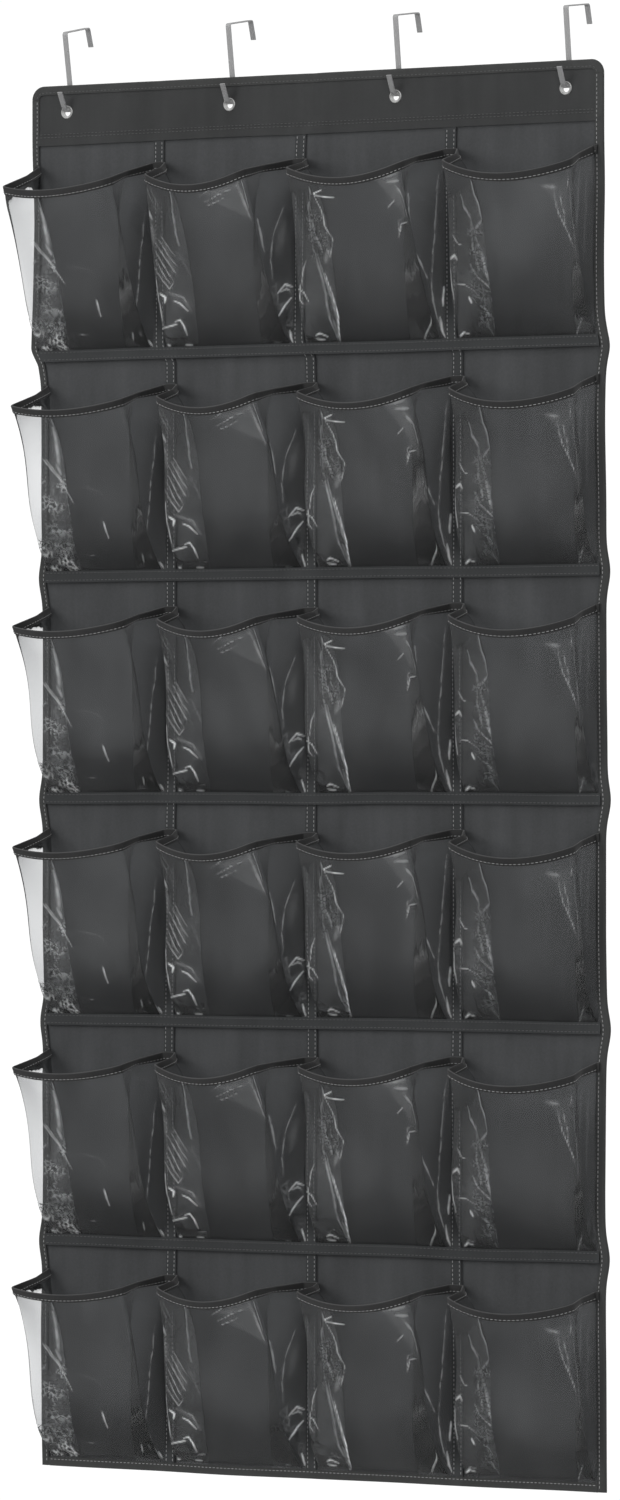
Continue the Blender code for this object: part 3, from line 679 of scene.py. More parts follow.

# Creases that the films hold, by column: part, width and height in mm, whiteness, and points (across, up) in
# percent of the part. The whiteness is partly the film's whitening along the crease and partly painted glints
# and highlights. Along a part, 0 is its left side. Up it, 0 is the hem and 100 the mouth.
CREASES = (
    (
        ("left", 2.6, 0.5, 0.22, (50, 95), (53, 80)),
        ("left", 4.2, 0.9, 1.00, (54, 82), (57, 70), (58, 60)),
        ("left", 3.4, 0.8, 0.85, (60, 61), (56, 55)),
        ("left", 1.6, 0.6, 0.22, (50, 56), (50, 20), (50, 0)),
        ("left", 8.0, 0.6, 0.10, (70, 50), (60, 35), (66, 20)),
        ("front", 1.2, 0.7, 0.50, (18.5, 68), (29, 58), (33.5, 53), (41.6, 40)),
        ("front", 1.0, 0.6, 0.34, (21, 68), (31, 58), (35, 52)),
        ("front", 2.0, 0.6, 0.50, (64.5, 29), (65.5, 18.5)),
        ("front", 1.4, 0.4, 0.08, (40, 50), (55, 50), (67, 47), (70, 42)),
        ("front", 1.4, 0.4, 0.30, (87, 9), (85, 4)),
        ("front", 1.4, 0.4, 0.28, (93, 9), (93, 6)),
        ("front", 1.4, 0.4, 0.12, (38, 9), (52, 8)),
        ("front", 1.4, 0.4, 0.09, (99, 97), (99, 50), (99, 25)),
        ("right", 1.2, 0.5, 0.18, (87, 74), (81, 55), (75, 30), (71, 18)),
        ("right", 1.6, 0.7, 0.40, (71, 18), (80, 9), (92, 0)),
        ("right", 1.8, 0.7, 0.70, (90, 4), (95, 1)),
    ),
    (
        ("left", 1.5, 0.8, 0.80, (58.5, 87), (63.5, 75.5), (64, 64), (62, 56.5)),
        ("left", 2.4, 0.7, 0.95, (58, 89), (59, 86)),
        ("front", 1.0, 0.5, 0.14, (26, 57), (29, 51), (34, 42)),
        ("front", 1.1, 0.8, 0.30, (10, 66), (23, 53)),
        ("front", 1.1, 0.8, 0.38, (8, 63), (23, 47)),
        ("front", 1.1, 0.8, 0.38, (5, 60), (21, 43)),
        ("front", 1.1, 0.8, 0.36, (4, 55), (18, 38)),
        ("front", 1.1, 0.8, 0.34, (3, 50), (15, 35)),
        ("front", 1.1, 0.8, 0.34, (2, 45), (13, 33), (18, 38)),
        ("front", 1.4, 0.7, 0.12, (2, 92), (12, 78)),
        ("front", 1.2, 0.7, 0.12, (5, 94), (15, 80)),
        ("front", 4.0, 0.5, 0.24, (0, 80), (4, 74)),
        ("front", 7.0, 0.4, 0.09, (2, 72), (4, 60)),
        ("front", 6.0, 0.5, 0.10, (14, 60), (19, 44)),
        ("front", 1.2, 0.6, 0.44, (1.5, 40), (2, 26), (3, 11)),
        ("front", 2.2, 0.9, 1.00, (4, 30), (8, 28), (7, 25)),
        ("front", 1.9, 0.9, 1.00, (15, 26), (20, 24.5), (26, 20)),
        ("front", 3.6, 0.5, 0.14, (10, 31), (24, 28), (29, 20)),
        ("front", 1.8, 0.8, 0.95, (1, 10), (8, 11.5), (14, 12.5)),
        ("front", 1.8, 0.8, 0.80, (13, 14), (18, 15), (20, 11.5), (20, 6)),
        ("front", 1.5, 0.4, 0.70, (16, 1), (22, 1)),
        ("front", 1.8, 0.4, 0.80, (2, 1), (4, 1)),
        ("left", 5.0, 0.4, 0.10, (50, 26), (50, 0)),
        ("front", 1.3, 0.5, 0.26, (57, 92), (71, 96.5), (94, 96)),
        ("front", 1.2, 0.5, 0.24, (60, 88), (76, 91.5), (93, 93)),
        ("front", 1.2, 0.5, 0.20, (61, 85.5), (80, 88.5)),
        ("front", 8.0, 0.4, 0.07, (66, 93), (92, 93)),
        ("front", 5.0, 0.5, 0.17, (94, 95), (95, 84), (98.5, 71)),
        ("front", 1.3, 0.4, 0.30, (99, 95), (99, 74)),
        ("right", 1.6, 0.5, 0.30, (54, 70), (58, 60), (62, 51)),
        ("right", 1.4, 0.6, 0.20, (86, 75), (74, 60), (69, 46), (71, 36)),
        ("right", 9.0, 0.3, 0.07, (88, 66), (80, 50)),
        ("right", 1.8, 0.9, 0.90, (79, 28), (88, 32.5), (98, 31)),
        ("right", 1.8, 0.9, 0.70, (82, 28.5), (90, 30), (95, 29)),
        ("right", 1.9, 0.9, 0.95, (97, 25), (88, 21), (78, 14.5)),
        ("right", 2.2, 0.7, 0.75, (95, 7), (99, 1)),
        ("right", 1.8, 0.4, 0.75, (70, 0.5), (84, 1.5)),
    ),
    (
        ("left", 1.3, 0.8, 0.55, (66, 86), (74, 76), (75.6, 65), (74.6, 52)),
        ("left", 2.2, 0.7, 1.00, (65.5, 87), (67, 83)),
        ("left", 1.6, 0.9, 1.00, (74.6, 52), (68, 40), (63.3, 27), (62.7, 13), (54.5, 0)),
        ("left", 1.3, 0.8, 0.62, (70, 49), (64, 38), (57, 24), (54.6, 13), (51, 0)),
        ("front", 1.4, 0.8, 0.70, (25, 40), (29, 27), (30, 15), (26, 1)),
        ("left", 3.6, 0.8, 0.75, (58, 12), (53, 0)),
        ("left", 3.0, 0.9, 0.75, (72, 68), (70, 60), (63, 50)),
        ("left", 2.0, 0.7, 0.40, (66, 70), (63, 62), (60, 54)),
        ("left", 3.4, 0.6, 0.22, (73, 84), (70, 70)),
        ("left", 8.0, 0.5, 0.10, (92, 84), (90, 62), (84, 50)),
        ("front", 1.3, 0.5, 0.80, (32, 92), (24, 89), (24, 88), (42, 87.5)),
        ("front", 1.2, 0.5, 0.40, (24, 87), (28, 80), (30, 69), (34.5, 62), (34, 57)),
        ("front", 1.6, 0.5, 0.26, (34, 57), (31.5, 50)),
        ("front", 5.0, 0.4, 0.12, (31, 55), (27, 47)),
        ("front", 1.8, 0.6, 0.85, (10, 4), (13, 5), (18, 3)),
        ("front", 1.8, 0.5, 0.80, (9, 2), (15, 1.5)),
        ("front", 1.5, 0.7, 0.50, (0, 30), (6, 28), (10, 22)),
        ("front", 1.5, 0.7, 0.45, (4, 33), (2, 24), (5, 21)),
        ("front", 1.2, 0.6, 0.30, (10, 47), (7, 41), (5, 32)),
        ("front", 3.4, 0.5, 0.24, (79, 95.5), (98, 95)),
        ("front", 4.4, 0.5, 0.24, (86, 92), (97, 90)),
        ("front", 3.8, 0.5, 0.24, (92, 88), (98.5, 80)),
        ("front", 2.2, 0.5, 0.20, (97.5, 82), (98.5, 68)),
        ("front", 1.4, 0.5, 0.36, (83, 77), (89, 80)),
        ("front", 1.3, 0.5, 0.30, (86, 58.5), (90, 66), (98.5, 65.5)),
        ("front", 1.1, 0.5, 0.22, (86, 60), (89, 68), (93, 69)),
        ("right", 2.2, 0.5, 0.28, (53, 80), (58, 57), (64, 47), (78, 33)),
        ("right", 1.2, 0.5, 0.18, (93, 88), (88, 60), (85, 45), (83, 33)),
        ("right", 1.4, 0.6, 0.26, (83, 33), (85, 20), (93, 8)),
        ("front", 1.2, 0.5, 0.45, (99.5, 13), (85, 0)),
        ("right", 1.8, 0.8, 0.85, (97.5, 28), (98, 18)),
        ("right", 2.4, 0.8, 0.60, (94, 12), (96, 5), (99, 1)),
    ),
    (
        ("left", 1.3, 0.6, 0.60, (53, 87), (56, 78), (52.5, 71), (52, 64)),
        ("left", 1.4, 0.6, 0.50, (52, 64), (63, 59)),
        ("left", 1.7, 0.8, 0.80, (76.5, 79), (74.7, 72), (67, 67)),
        ("left", 2.2, 0.9, 1.00, (73, 72), (67, 65)),
        ("left", 3.6, 0.8, 0.42, (67, 66), (66, 60), (60, 50), (56, 42)),
        ("left", 1.2, 0.8, 0.44, (68, 60), (68, 48), (63, 40)),
        ("left", 3.6, 1.0, 1.00, (59, 47), (56, 40), (53, 31)),
        ("left", 1.5, 0.9, 0.95, (73, 40), (67, 34), (53, 26.5)),
        ("left", 1.4, 0.8, 0.60, (66, 44), (62, 36)),
        ("left", 1.6, 0.7, 0.70, (50, 27), (50, 10), (50, 0)),
        ("left", 1.4, 0.7, 0.50, (62, 17), (58, 5), (53, 1)),
        ("left", 1.3, 0.6, 0.34, (62, 28), (60, 17)),
        ("left", 5.0, 0.6, 0.16, (56, 24), (55, 2)),
        ("left", 2.0, 0.8, 0.85, (66, 17), (60, 15), (57, 12), (62, 10.5)),
        ("front", 2.3, 0.8, 1.00, (15, 22.5), (16.5, 19)),
        ("front", 1.3, 0.6, 0.28, (0, 30), (12.5, 29.5), (20, 26)),
        ("front", 2.6, 0.6, 0.36, (2, 43), (6, 46), (8, 43)),
        ("front", 1.5, 0.7, 0.45, (1, 42), (1, 30), (3, 21)),
        ("front", 1.3, 0.6, 0.30, (5, 58), (10, 53), (16, 52)),
        ("front", 1.8, 0.6, 0.75, (2, 1), (6, 3), (10, 2)),
        ("front", 5.4, 0.4, 0.17, (81, 89), (88, 86.5)),
        ("front", 1.3, 0.5, 0.24, (88, 86), (88.5, 70), (91.5, 62), (96, 49)),
        ("front", 1.2, 0.5, 0.15, (91, 84), (92, 72), (92, 60)),
        ("front", 1.8, 0.5, 0.18, (96.5, 84.5), (99.5, 90)),
        ("front", 1.4, 0.4, 0.12, (99.5, 95), (99, 70), (99, 40)),
        ("front", 1.2, 0.4, 0.20, (86, 0), (93, 9)),
        ("right", 1.4, 0.5, 0.07, (62, 90), (60, 50), (62, 25)),
        ("right", 1.2, 0.5, 0.05, (80, 85), (80, 40)),
        ("right", 1.4, 0.5, 0.20, (60, 20), (66, 10)),
    ),
)

# Light patches of painted reflection on flaps of film, by column: part, corners as shares of it, in order
# with the inside on their left, and whiteness
REFLECTION_PATCHES = (
    (),
    (("front", ((0.66, 0.90), (0.985, 0.71), (0.94, 0.96)), 0.045),),
    (("front", ((0.79, 0.955), (0.985, 0.60), (0.99, 0.955)), 0.050),),
    (("front", ((0.81, 0.90), (0.93, 0.62), (0.98, 0.90)), 0.035),),
)

# Crumpled zones, by column: part, from and to across and from and to up it, as shares, then cell size and
# depth in mm, and whiteness, which paints the glints along their creases
CRUMPLES = (
    (
        ("left", 0.50, 0.80, 0.20, 0.52, 6.5, 0.9, 0.95),
        ("left", 0.50, 0.98, 0.10, 0.17, 6.5, 0.9, 0.80),
        ("left", 0.50, 0.98, -0.02, 0.12, 6.0, 0.9, 0.90),
        ("front", -0.05, 0.33, -0.02, 0.10, 6.0, 0.9, 0.70),
        ("left", 0.05, 0.50, 0.10, 0.60, 8.0, 0.8, 0.08),
    ),
    (
        ("left", 0.50, 0.95, 0.05, 0.80, 8.0, 0.6, 0.07),
        ("right", 0.60, 0.98, 0.02, 0.34, 7.0, 0.8, 0.12),
    ),
    (
        ("left", 0.55, 0.80, 0.46, 0.72, 4.4, 0.8, 0.50),
        ("left", 0.50, 0.95, 0.02, 0.45, 8.0, 0.6, 0.08),
        ("right", 0.60, 0.98, 0.02, 0.20, 7.0, 0.8, 0.14),
    ),
    (
        ("left", 0.50, 0.74, 0.05, 0.62, 5.0, 0.8, 0.34),
        ("left", 0.70, 0.98, 0.20, 0.48, 8.0, 0.6, 0.12),
        ("right", 0.55, 0.95, 0.05, 0.16, 7.0, 0.6, 0.08),
    ),
)


def pocket_span(column):
    """X of the two seams that the film of a column is sewn to."""
    left = -HALF_WIDTH + BINDING_LEG if column == 0 else COLUMN_SEAMS[column - 1] + COLUMN_TAPE_WIDTH / 2
    last = column == COLUMNS - 1
    right = HALF_WIDTH - BINDING_LEG if last else COLUMN_SEAMS[column] - COLUMN_TAPE_WIDTH / 2
    return left + SIDE_GAP, right - SIDE_GAP


def opening(up, row):
    """How far open the pocket stands at a share of its height."""
    belly = 0.03 if row == 0 else 0.10
    return up**0.8 + belly * np.sin(2 * math.pi * up) * (1 - 0.3 * up)


def pleat(corner_x, corner_reach, half):
    """The inner fold of a side gusset: half way to the corner, and inward by what is left of its length."""
    across = np.hypot(corner_x, corner_reach)
    depth = np.sqrt(np.maximum(half**2 - (across / 2) ** 2, 0.0))
    unit_x = corner_reach / np.maximum(across, 1e-6)
    unit_reach = corner_x / np.maximum(across, 1e-6)
    flat = across < 1e-5
    unit_x = np.where(flat, 1.0, unit_x)
    unit_reach = np.where(flat, 0.0, unit_reach)
    return corner_x / 2 + unit_x * depth, corner_reach / 2 - unit_reach * depth


def between_points(a, b, cells, last=False):
    share = np.linspace(0, 1, cells + 1)[None, :, None]
    run = a[:, None, :] * (1 - share) + b[:, None, :] * share
    return run if last else run[:, :-1]


def film_layout(row, column):
    """The film's points (x, lift, z), one row of stations for each height, before its creases."""
    left, right = pocket_span(column)
    width = right - left
    hem = SEAM_LOW[row] + TAPE_HEIGHT
    rise = MOUTH_HEIGHT[row] - hem
    extra = DIP_BY_HEIGHT * (MOUTH_HEIGHT[row] - PANEL_MIDDLE.z)
    up = np.linspace(0, 1, FILM_ROWS)
    wide = opening(up, row)
    half_left = 0.505 * math.hypot(LEFT_INSET[column], LEFT_REACH[column])
    half_right = 0.505 * math.hypot(RIGHT_INSET[column], RIGHT_REACH[column])

    def points(x, reach, dip):
        dip = (dip + extra * reach) * up**1.3
        return np.stack([left + x + 0 * up, reach + 0 * up, dip + 0 * up], axis=-1)

    start, end = points(0 * up, 0 * up, 0.0), points(width + 0 * up, 0 * up, 0.0)
    start[:, 2] -= MOUTH_RISE[column] * up**4
    end[:, 2] -= MOUTH_RISE[column + 1] * up**4
    corner_x, corner_reach = LEFT_INSET[column] * up, LEFT_REACH[column] * wide
    fold_x, fold_reach = RIGHT_INSET[column] * up, RIGHT_REACH[column] * wide
    inner = points(*pleat(corner_x, corner_reach, half_left), LEFT_DIP[column] / 2)
    inner[:, 2] -= MOUTH_RISE[column] / 2 * up**4
    inner_x, inner_reach = pleat(fold_x, fold_reach, half_right)
    inner_right = points(width - inner_x, inner_reach, RIGHT_DIP[column] / 2)
    inner_right[:, 2] -= MOUTH_RISE[column + 1] / 2 * up**4
    corner = points(corner_x, corner_reach, LEFT_DIP[column])
    fold = points(width - fold_x, fold_reach, RIGHT_DIP[column])

    middle = LOW_PLACE[column] * up + width / 2 * (1 - up)
    share = ((middle - corner_x) / (width - fold_x - corner_x))[:, None]
    t = np.linspace(0, 1, FRONT_CELLS + 1)[None, :]

    def through(first, centre, last):
        """A parabola through three values at 0, share and 1."""
        first, centre, last = first[:, None], centre[:, None], last[:, None]
        bend = ((centre - first) - (last - first) * share) / (share * share - share)
        return first + (last - first - bend) * t + bend * t * t

    low_reach = LOW_REACH[column] * wide
    low_dip = (LOW_DIP[column] + extra * LOW_REACH[column]) * up**1.3
    front = np.stack(
        [
            through(corner[:, 0], left + middle, fold[:, 0]),
            through(corner_reach, low_reach, fold_reach),
            through(corner[:, 2], low_dip, fold[:, 2]),
        ],
        axis=-1,
    )
    sewn = np.array([0.004, 0.002])
    before = start[:, None, :] - sewn[None, :, None] * np.array((1.0, 0.0, 0.0))
    after = end[:, None, :] + sewn[::-1][None, :, None] * np.array((1.0, 0.0, 0.0))
    film = np.concatenate(
        [
            before,
            between_points(start, inner, GUSSET_CELLS),
            between_points(inner, corner, GUSSET_CELLS),
            front[:, :-1],
            between_points(fold, inner_right, GUSSET_CELLS),
            between_points(inner_right, end, GUSSET_CELLS, last=True),
            after,
        ],
        axis=1,
    )
    layers = layer_numbers()
    blur = np.full(STATIONS, 0.6)
    place = np.arange(STATIONS)
    blur += 1.6 * np.exp(-(((place - PART_START["front"]) / 3.0) ** 2))
    blur += 6.0 * np.exp(-(((place - PART_START["right"]) / 8.0) ** 2))
    for part in ("left", "right"):
        blur += 1.2 * np.exp(-(((place - PART_START[part] - GUSSET_CELLS) / 3.0) ** 2))
    blur[:3] = blur[-3:] = 0.0
    matrix = blur_matrix(blur)
    film = np.einsum("ij,rjk->rik", matrix, film)
    film[..., 1] += LAYER + FILM_LAYER * (matrix @ layers)[None, :]
    film[..., 2] = (hem + up * rise)[:, None] - film[..., 2]
    flap = film[:1].repeat(HEM_ROWS, axis=0)
    flap[..., 2] = np.linspace(SEAM_LOW[row] + 0.003, hem - 0.002, HEM_ROWS)[:, None]
    return np.concatenate([flap, film])


def layer_numbers():
    """Which of the pleat's three layers each station lies in at the hem, counted from the panel."""
    layers = np.full(STATIONS, 2.0)
    layers[: PART_START["left"] + GUSSET_CELLS] = 0.0
    layers[PART_START["left"] + GUSSET_CELLS : PART_START["front"]] = 1.0
    layers[PART_START["right"] : PART_START["right"] + GUSSET_CELLS] = 1.0
    layers[PART_START["right"] + GUSSET_CELLS :] = 0.0
    return layers


def part_shares():
    """Each station's place across every part of the film, as shares of that part."""
    place = np.arange(STATIONS, dtype=float)
    return {part: (place - PART_START[part]) / PART_CELLS[part] for part in PART_START}


def part_width(part, column):
    left, right = pocket_span(column)
    if part == "front":
        return (right - left) * 0.86
    side = (LEFT_INSET, LEFT_REACH) if part == "left" else (RIGHT_INSET, RIGHT_REACH)
    return math.hypot(side[0][column], side[1][column])


def crease_fields(row, column):
    """Height to push each point by, whiteness with painted glints and reflections, and crumpling, over the
    film's grid.
    """
    shares = part_shares()
    up = np.linspace(0, 1, FILM_ROWS)[:, None]
    rise = MOUTH_HEIGHT[row] - SEAM_LOW[row] - TAPE_HEIGHT
    height, white, crumple = np.zeros((3, FILM_ROWS, STATIONS))
    seed = 10 * column
    wander = np.random.default_rng(seed)

    def spread(part):
        """The part's size in metres, and the place of every point in it."""
        width = part_width(part, column)
        return (width, rise), shares[part][None, :] * width, up * rise

    for part, wide, tall, whiteness, *marks in CREASES[column]:
        size, x, y = spread(part)
        inside = (shares[part] > -0.01) & (shares[part] < 1.01)
        line = np.array(marks) / 100 * size
        wide = max(0.85 * wide, 1.1 if part == "front" else 1.9) * 0.001
        # The line wavers a little, and thins out at its ends.
        x = x + 0.0007 * soft_noise(x, y, 0.013, seed + 5)
        off, done, total = np.full_like(height, 1.0), np.zeros_like(height), 0.0
        for a, b in zip(line, line[1:]):
            along = b - a
            length = np.hypot(*along)
            t = np.clip(((x - a[0]) * along[0] + (y - a[1]) * along[1]) / length**2, 0, 1)
            distance = np.hypot(x - a[0] - t * along[0], y - a[1] - t * along[1])
            done = np.where(distance < off, total + t * length, done)
            off = np.minimum(off, distance)
            total += length
        taper = 0.45 + 0.55 * np.sin(math.pi * np.clip(done / total, 0.03, 0.97)) ** 0.5
        shape = np.exp(-((off / (0.5 * wide * (0.4 + 0.6 * taper))) ** 2) / 1.2) * inside[None, :]
        height += 0.001 * tall * shape * taper * wander.choice((-1, 1))
        # Whiteness along the crease: partly the film's whitening, partly a painted glint or highlight.
        patchy = 0.80 + 0.30 * soft_noise(x, y, 0.005, seed + 7)
        white = np.maximum(white, min(1.25 * whiteness, 1.0) * shape * taper * patchy)
    # Painted reflections: light patches whitened onto the film.
    for part, corners, whiteness in REFLECTION_PATCHES[column]:
        size, x, y = spread(part)
        points = np.array(corners) * size
        cover = np.ones_like(height)
        for a, b in zip(points, np.roll(points, -1, axis=0)):
            along = unit(b - a)
            cover = cover * smoothstep(-0.001, 0.002, along[0] * (y - a[1]) - along[1] * (x - a[0]))
        white = np.maximum(white, whiteness * cover * (0.8 + 0.35 * soft_noise(x, y, 0.012, seed + 8)))
    for part, x0, x1, y0, y1, cell, depth, whiteness in CRUMPLES[column]:
        size, x, y = spread(part)
        zone = band(x0, x1, 0.06, shares[part])[None, :] * band(y0, y1, 0.04, up)
        # Bent cells of uneven size, so that the net doesn't look like a mesh
        bend_x, bend_y = (0.0045 * soft_noise(x, y, 0.009, seed + k) for k in (21, 22))
        net = crease_net(x + bend_x + 0.15, y + bend_y + 0.2, cell * 0.001, seed + int(cell))
        lines = np.exp(-((net / 0.25) ** 2))
        patchy = np.clip(0.35 + 2.2 * soft_noise(x, y, 0.010, seed + 3), 0.04, 1)
        height += 0.001 * depth * zone * (lines - 0.4 + 0.8 * soft_noise(x, y, cell * 0.0012, seed + 4))
        # Painted glints along the crumple net.
        white = np.maximum(white, whiteness * lines * zone * patchy)
        crumple = np.maximum(crumple, zone * min(depth, 1.0) * min(whiteness * 3, 1.0))
    return height, white, crumple


def unit_normals(points):
    return unit(np.cross(np.gradient(points, axis=0), np.gradient(points, axis=1)))


def build_film(row, column):
    """One pocket's film. Returns its mouth line and the film's direction up to it."""
    flat = film_layout(row, column)
    height, white, crumple = (np.pad(field, ((HEM_ROWS, 0), (0, 0))) for field in crease_fields(row, column))
    up = np.concatenate([np.zeros(HEM_ROWS), np.linspace(0, 1, FILM_ROWS)])[:, None]
    x, z = flat[..., 0], flat[..., 2]
    flutes = 0.0016 * soft_noise(x, z * 0.35, 0.032, 31 + column)
    flutes += 0.0022 * soft_noise(x, z * 0.6, 0.07, 41 + row)
    flutes *= smoothstep(0.0, 0.16, up) * smoothstep(1.02, 0.86, up)
    edge = np.ones(STATIONS)
    edge[:4] = edge[-4:] = 0.0
    push = (flutes + height * smoothstep(0.0, 0.05, up) * smoothstep(1.0, 0.95, up)) * edge[None, :]
    # Near the hem the layers lie close together, so there they all move forward as one.
    close = smoothstep(0.30, 0.10, up)
    crumpled = 0.0012 * (1 + soft_noise(x, z, 0.006, 61 + column)) * smoothstep(0.0, 0.04, up) * close
    flat = flat + unit_normals(flat) * (push * (1 - close))[..., None]
    flat[..., 1] += np.abs(crumpled) * (crumple > 0.05) + 0.3 * np.abs(push) * close
    # Film never goes back into the cloth that it is sewn on.
    flat[..., 1] = np.maximum(flat[..., 1], CLOTH + 0.0002)
    name = f"pocket_film_r{row + 1}_c{column + 1}"
    piece = add_mesh(name, hang(flat), grid_faces(len(flat), STATIONS), FILM, 180)
    # The crease whiteness carries painted glints, highlights and reflections as well as the film's whitening.
    add_values(piece, "crease_white_and_glints", white)
    add_values(piece, "crumple", crumple)
    settle(piece, f"pocket_r{row + 1}_c{column + 1}")
    return flat[-1, 2:-2], unit(flat[-1] - flat[-7])[2:-2]


# ---------------------------------------------------------------- mouth bindings


def ribbon_section():
    """Outline of the folded mouth tape, as (across, up) from the film's upper edge: outside, then inside."""
    low = -RIBBON_HEIGHT + RIBBON_HALF
    angles = np.radians(np.linspace(0, 180, 7))
    outline = []
    for half, order in ((RIBBON_HALF, 1), (RIBBON_HALF - 0.0005, -1)):
        front = [(half * 0.92, low), (half * 1.05, low * 0.66), (half * 0.97, low * 0.33)]
        fold = [(half * math.cos(a), half * math.sin(a)) for a in angles]
        outline += (front + fold + [(-x, z) for x, z in front[::-1]])[::order]
    return np.array(outline)


def resampled(line, other, step):
    """The line and the values along it, at even steps."""
    run = run_along(line)
    even = np.linspace(0, run[-1], int(run[-1] / step))
    return values_at(even, run, line), values_at(even, run, other)


def build_mouth_binding(row, edges, stitches):
    """One length of folded tape along the mouths of a row, from side binding to side binding."""
    rises = [MOUTH_HEIGHT[row] + rise for rise in MOUTH_RISE]
    lift = 3 * LAYER + 0.0014
    end = HALF_WIDTH - BINDING_LEG / 2
    upright = (0.0, 0.0, 1.0)
    line, upward = [(-end, lift, rises[0])], [upright]
    for column, (mouth, rising) in enumerate(edges):
        left, right = pocket_span(column)
        line += [(left - 0.003, lift, rises[column]), *mouth[3:-3], (right + 0.003, lift, rises[column + 1])]
        upward += [upright, *rising[3:-3], upright]
    line.append((end, lift, rises[-1]))
    upward.append(upright)
    line, upward = resampled(np.array(line), np.array(upward), 0.0011)
    count = len(line)
    line = blur_matrix(np.full(count, 1.5)) @ line
    upward = unit(blur_matrix(np.full(count, 4.0)) @ upward)
    tangent = unit(np.gradient(line, axis=0))
    across = unit(np.cross(tangent, upward))
    upward = np.cross(across, tangent)
    section = ribbon_section()
    name = f"mouth_tape_row_{row + 1}"
    piece = sweep(name, line, across, upward, section, MOUTH_CLOTH)
    # Painted highlight along the tape's folded top edge.
    add_values(piece, "fold_crest_highlight", np.tile(smoothstep(0.6, 1.0, section[:, 1] / RIBBON_HALF), (count, 1)))
    settle(piece, f"mouth_binding_row_{row + 1}")
    for side in (1, -1):
        sewn = line - upward * (RIBBON_HEIGHT - 0.0034) + across * side * (RIBBON_HALF + 0.00025)
        stitches.run(hang(sewn), unit(hang(line + across * side * 0.001) - hang(line)))


def build_pockets():
    stitches = Stitches()
    for row in range(ROWS):
        edges = [build_film(row, column) for column in range(COLUMNS)]
        build_mouth_binding(row, edges, stitches)
    stitches.finish("stitches_mouth_tapes")


# ---------------------------------------------------------------- eyelets and hooks

TURNED_STEPS = 64


def turned(name, node, profile, centre):
    """A ring turned about the eyelet's axis, from (radius, y) points in order round its section."""
    angles = 2 * math.pi * np.arange(TURNED_STEPS) / TURNED_STEPS
    radius, depth = np.array(profile).T
    x = centre[0] + np.outer(np.cos(angles), radius)
    z = centre[1] + np.outer(np.sin(angles), radius)
    points = np.stack([x, np.tile(depth, (TURNED_STEPS, 1)), z], axis=-1)
    faces = grid_faces(TURNED_STEPS + 1, len(profile), closed=True)
    faces = [tuple(corner % x.size for corner in face) for face in faces]
    settle(add_mesh(name, points, faces, CHROME, 50), node)


def build_eyelets():
    bore, wall, crest, flange = 0.0040, 0.0009, 0.0061, 0.0072
    seat, back = -(LAYER + CLOTH + 0.0001), EYELETS[0][1].y
    tall = EYELET_FRONT - seat
    # The flange is rolled at its rim, and sinks in a hollow curve from there to the bore.
    hollow = [
        (bore + (crest - bore) * share, seat - 0.0001 + tall * (1 - math.cos(share * math.pi / 2)))
        for share in np.linspace(0, 1, 9)
    ]
    rim = [
        (crest + (flange - crest) * math.sin(a), seat + tall * math.cos(a))
        for a in np.radians(np.linspace(0, 90, 9))
    ]
    profile = [(bore, back - 0.0003)] + hollow[:-1] + rim[:-1]
    profile += [(flange, seat), (bore + wall, seat), (bore + wall, back)]
    for number, centre in enumerate(EYELET_CENTRES, start=1):
        turned(f"eyelet_ring_{number}", f"eyelet_{number}", profile, centre)
        low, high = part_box(f"eyelet_washer_{number}")
        inner, outer = bore + wall + 0.0003, (high.x - low.x) / 2
        middle, reach = (inner + outer) / 2, (outer - inner) / 2
        crown, base = high.y - low.y - 0.0003, low.y + 0.0003
        washer = [(inner, low.y), (outer, low.y)]
        for a in np.radians(np.linspace(0, 180, 9)):
            washer.append((middle + reach * math.cos(a), base + crown * math.sin(a)))
        turned(f"eyelet_back_ring_{number}", f"eyelet_washer_{number}", washer, centre)


# Hook strip, as in the CAD model
STRIP_WIDTH = 0.006
STRIP_THICKNESS = 0.0015
THROAT = 0.045
BACK_LEG = 0.021
LEG_HEIGHT = 0.074
J_RADIUS = 0.008
J_SWEEP = 160
TIP_LENGTH = 0.0175
BEND_RADIUS = 0.0025
BACK_FLARE = 9  # degrees that the back leg stands off from the door
HOOK_LEANS = (10.5, 9.0, 7.5, 7.0)


def arc(centre, radius, start, end, steps):
    angles = np.radians(np.linspace(start, end, steps + 1))
    return [(centre[0] + radius * math.cos(a), centre[1] + radius * math.sin(a)) for a in angles]


def hook_line():
    """Centre line of an upright strip, as (y, z) from its joint's axis."""
    far = J_RADIUS + THROAT + STRIP_THICKNESS
    back = arc((far - BEND_RADIUS, LEG_HEIGHT - BEND_RADIUS), BEND_RADIUS, BACK_FLARE, 90, 8)
    stand_off, leg = math.radians(BACK_FLARE), BACK_LEG - BEND_RADIUS
    line = [
        (back[0][0] + length * math.sin(stand_off), back[0][1] - length * math.cos(stand_off))
        for length in np.linspace(leg, 0, 8)[:-1]
    ]
    line += back
    line += [(y, LEG_HEIGHT) for y in np.linspace(far - BEND_RADIUS, J_RADIUS + BEND_RADIUS, 12)[1:-1]]
    line += arc((J_RADIUS + BEND_RADIUS, LEG_HEIGHT - BEND_RADIUS), BEND_RADIUS, 90, 180, 8)
    line += [(J_RADIUS, z) for z in np.linspace(LEG_HEIGHT - BEND_RADIUS, 0, 16)[1:-1]]
    line += arc((0.0, 0.0), J_RADIUS, 0, -J_SWEEP, 24)
    end = line[-1]
    flare = math.radians(180 - J_SWEEP)
    line += [
        (end[0] - length * math.sin(flare), end[1] + length * math.cos(flare))
        for length in np.linspace(0, TIP_LENGTH, 7)[1:]
    ]
    return np.array(line)


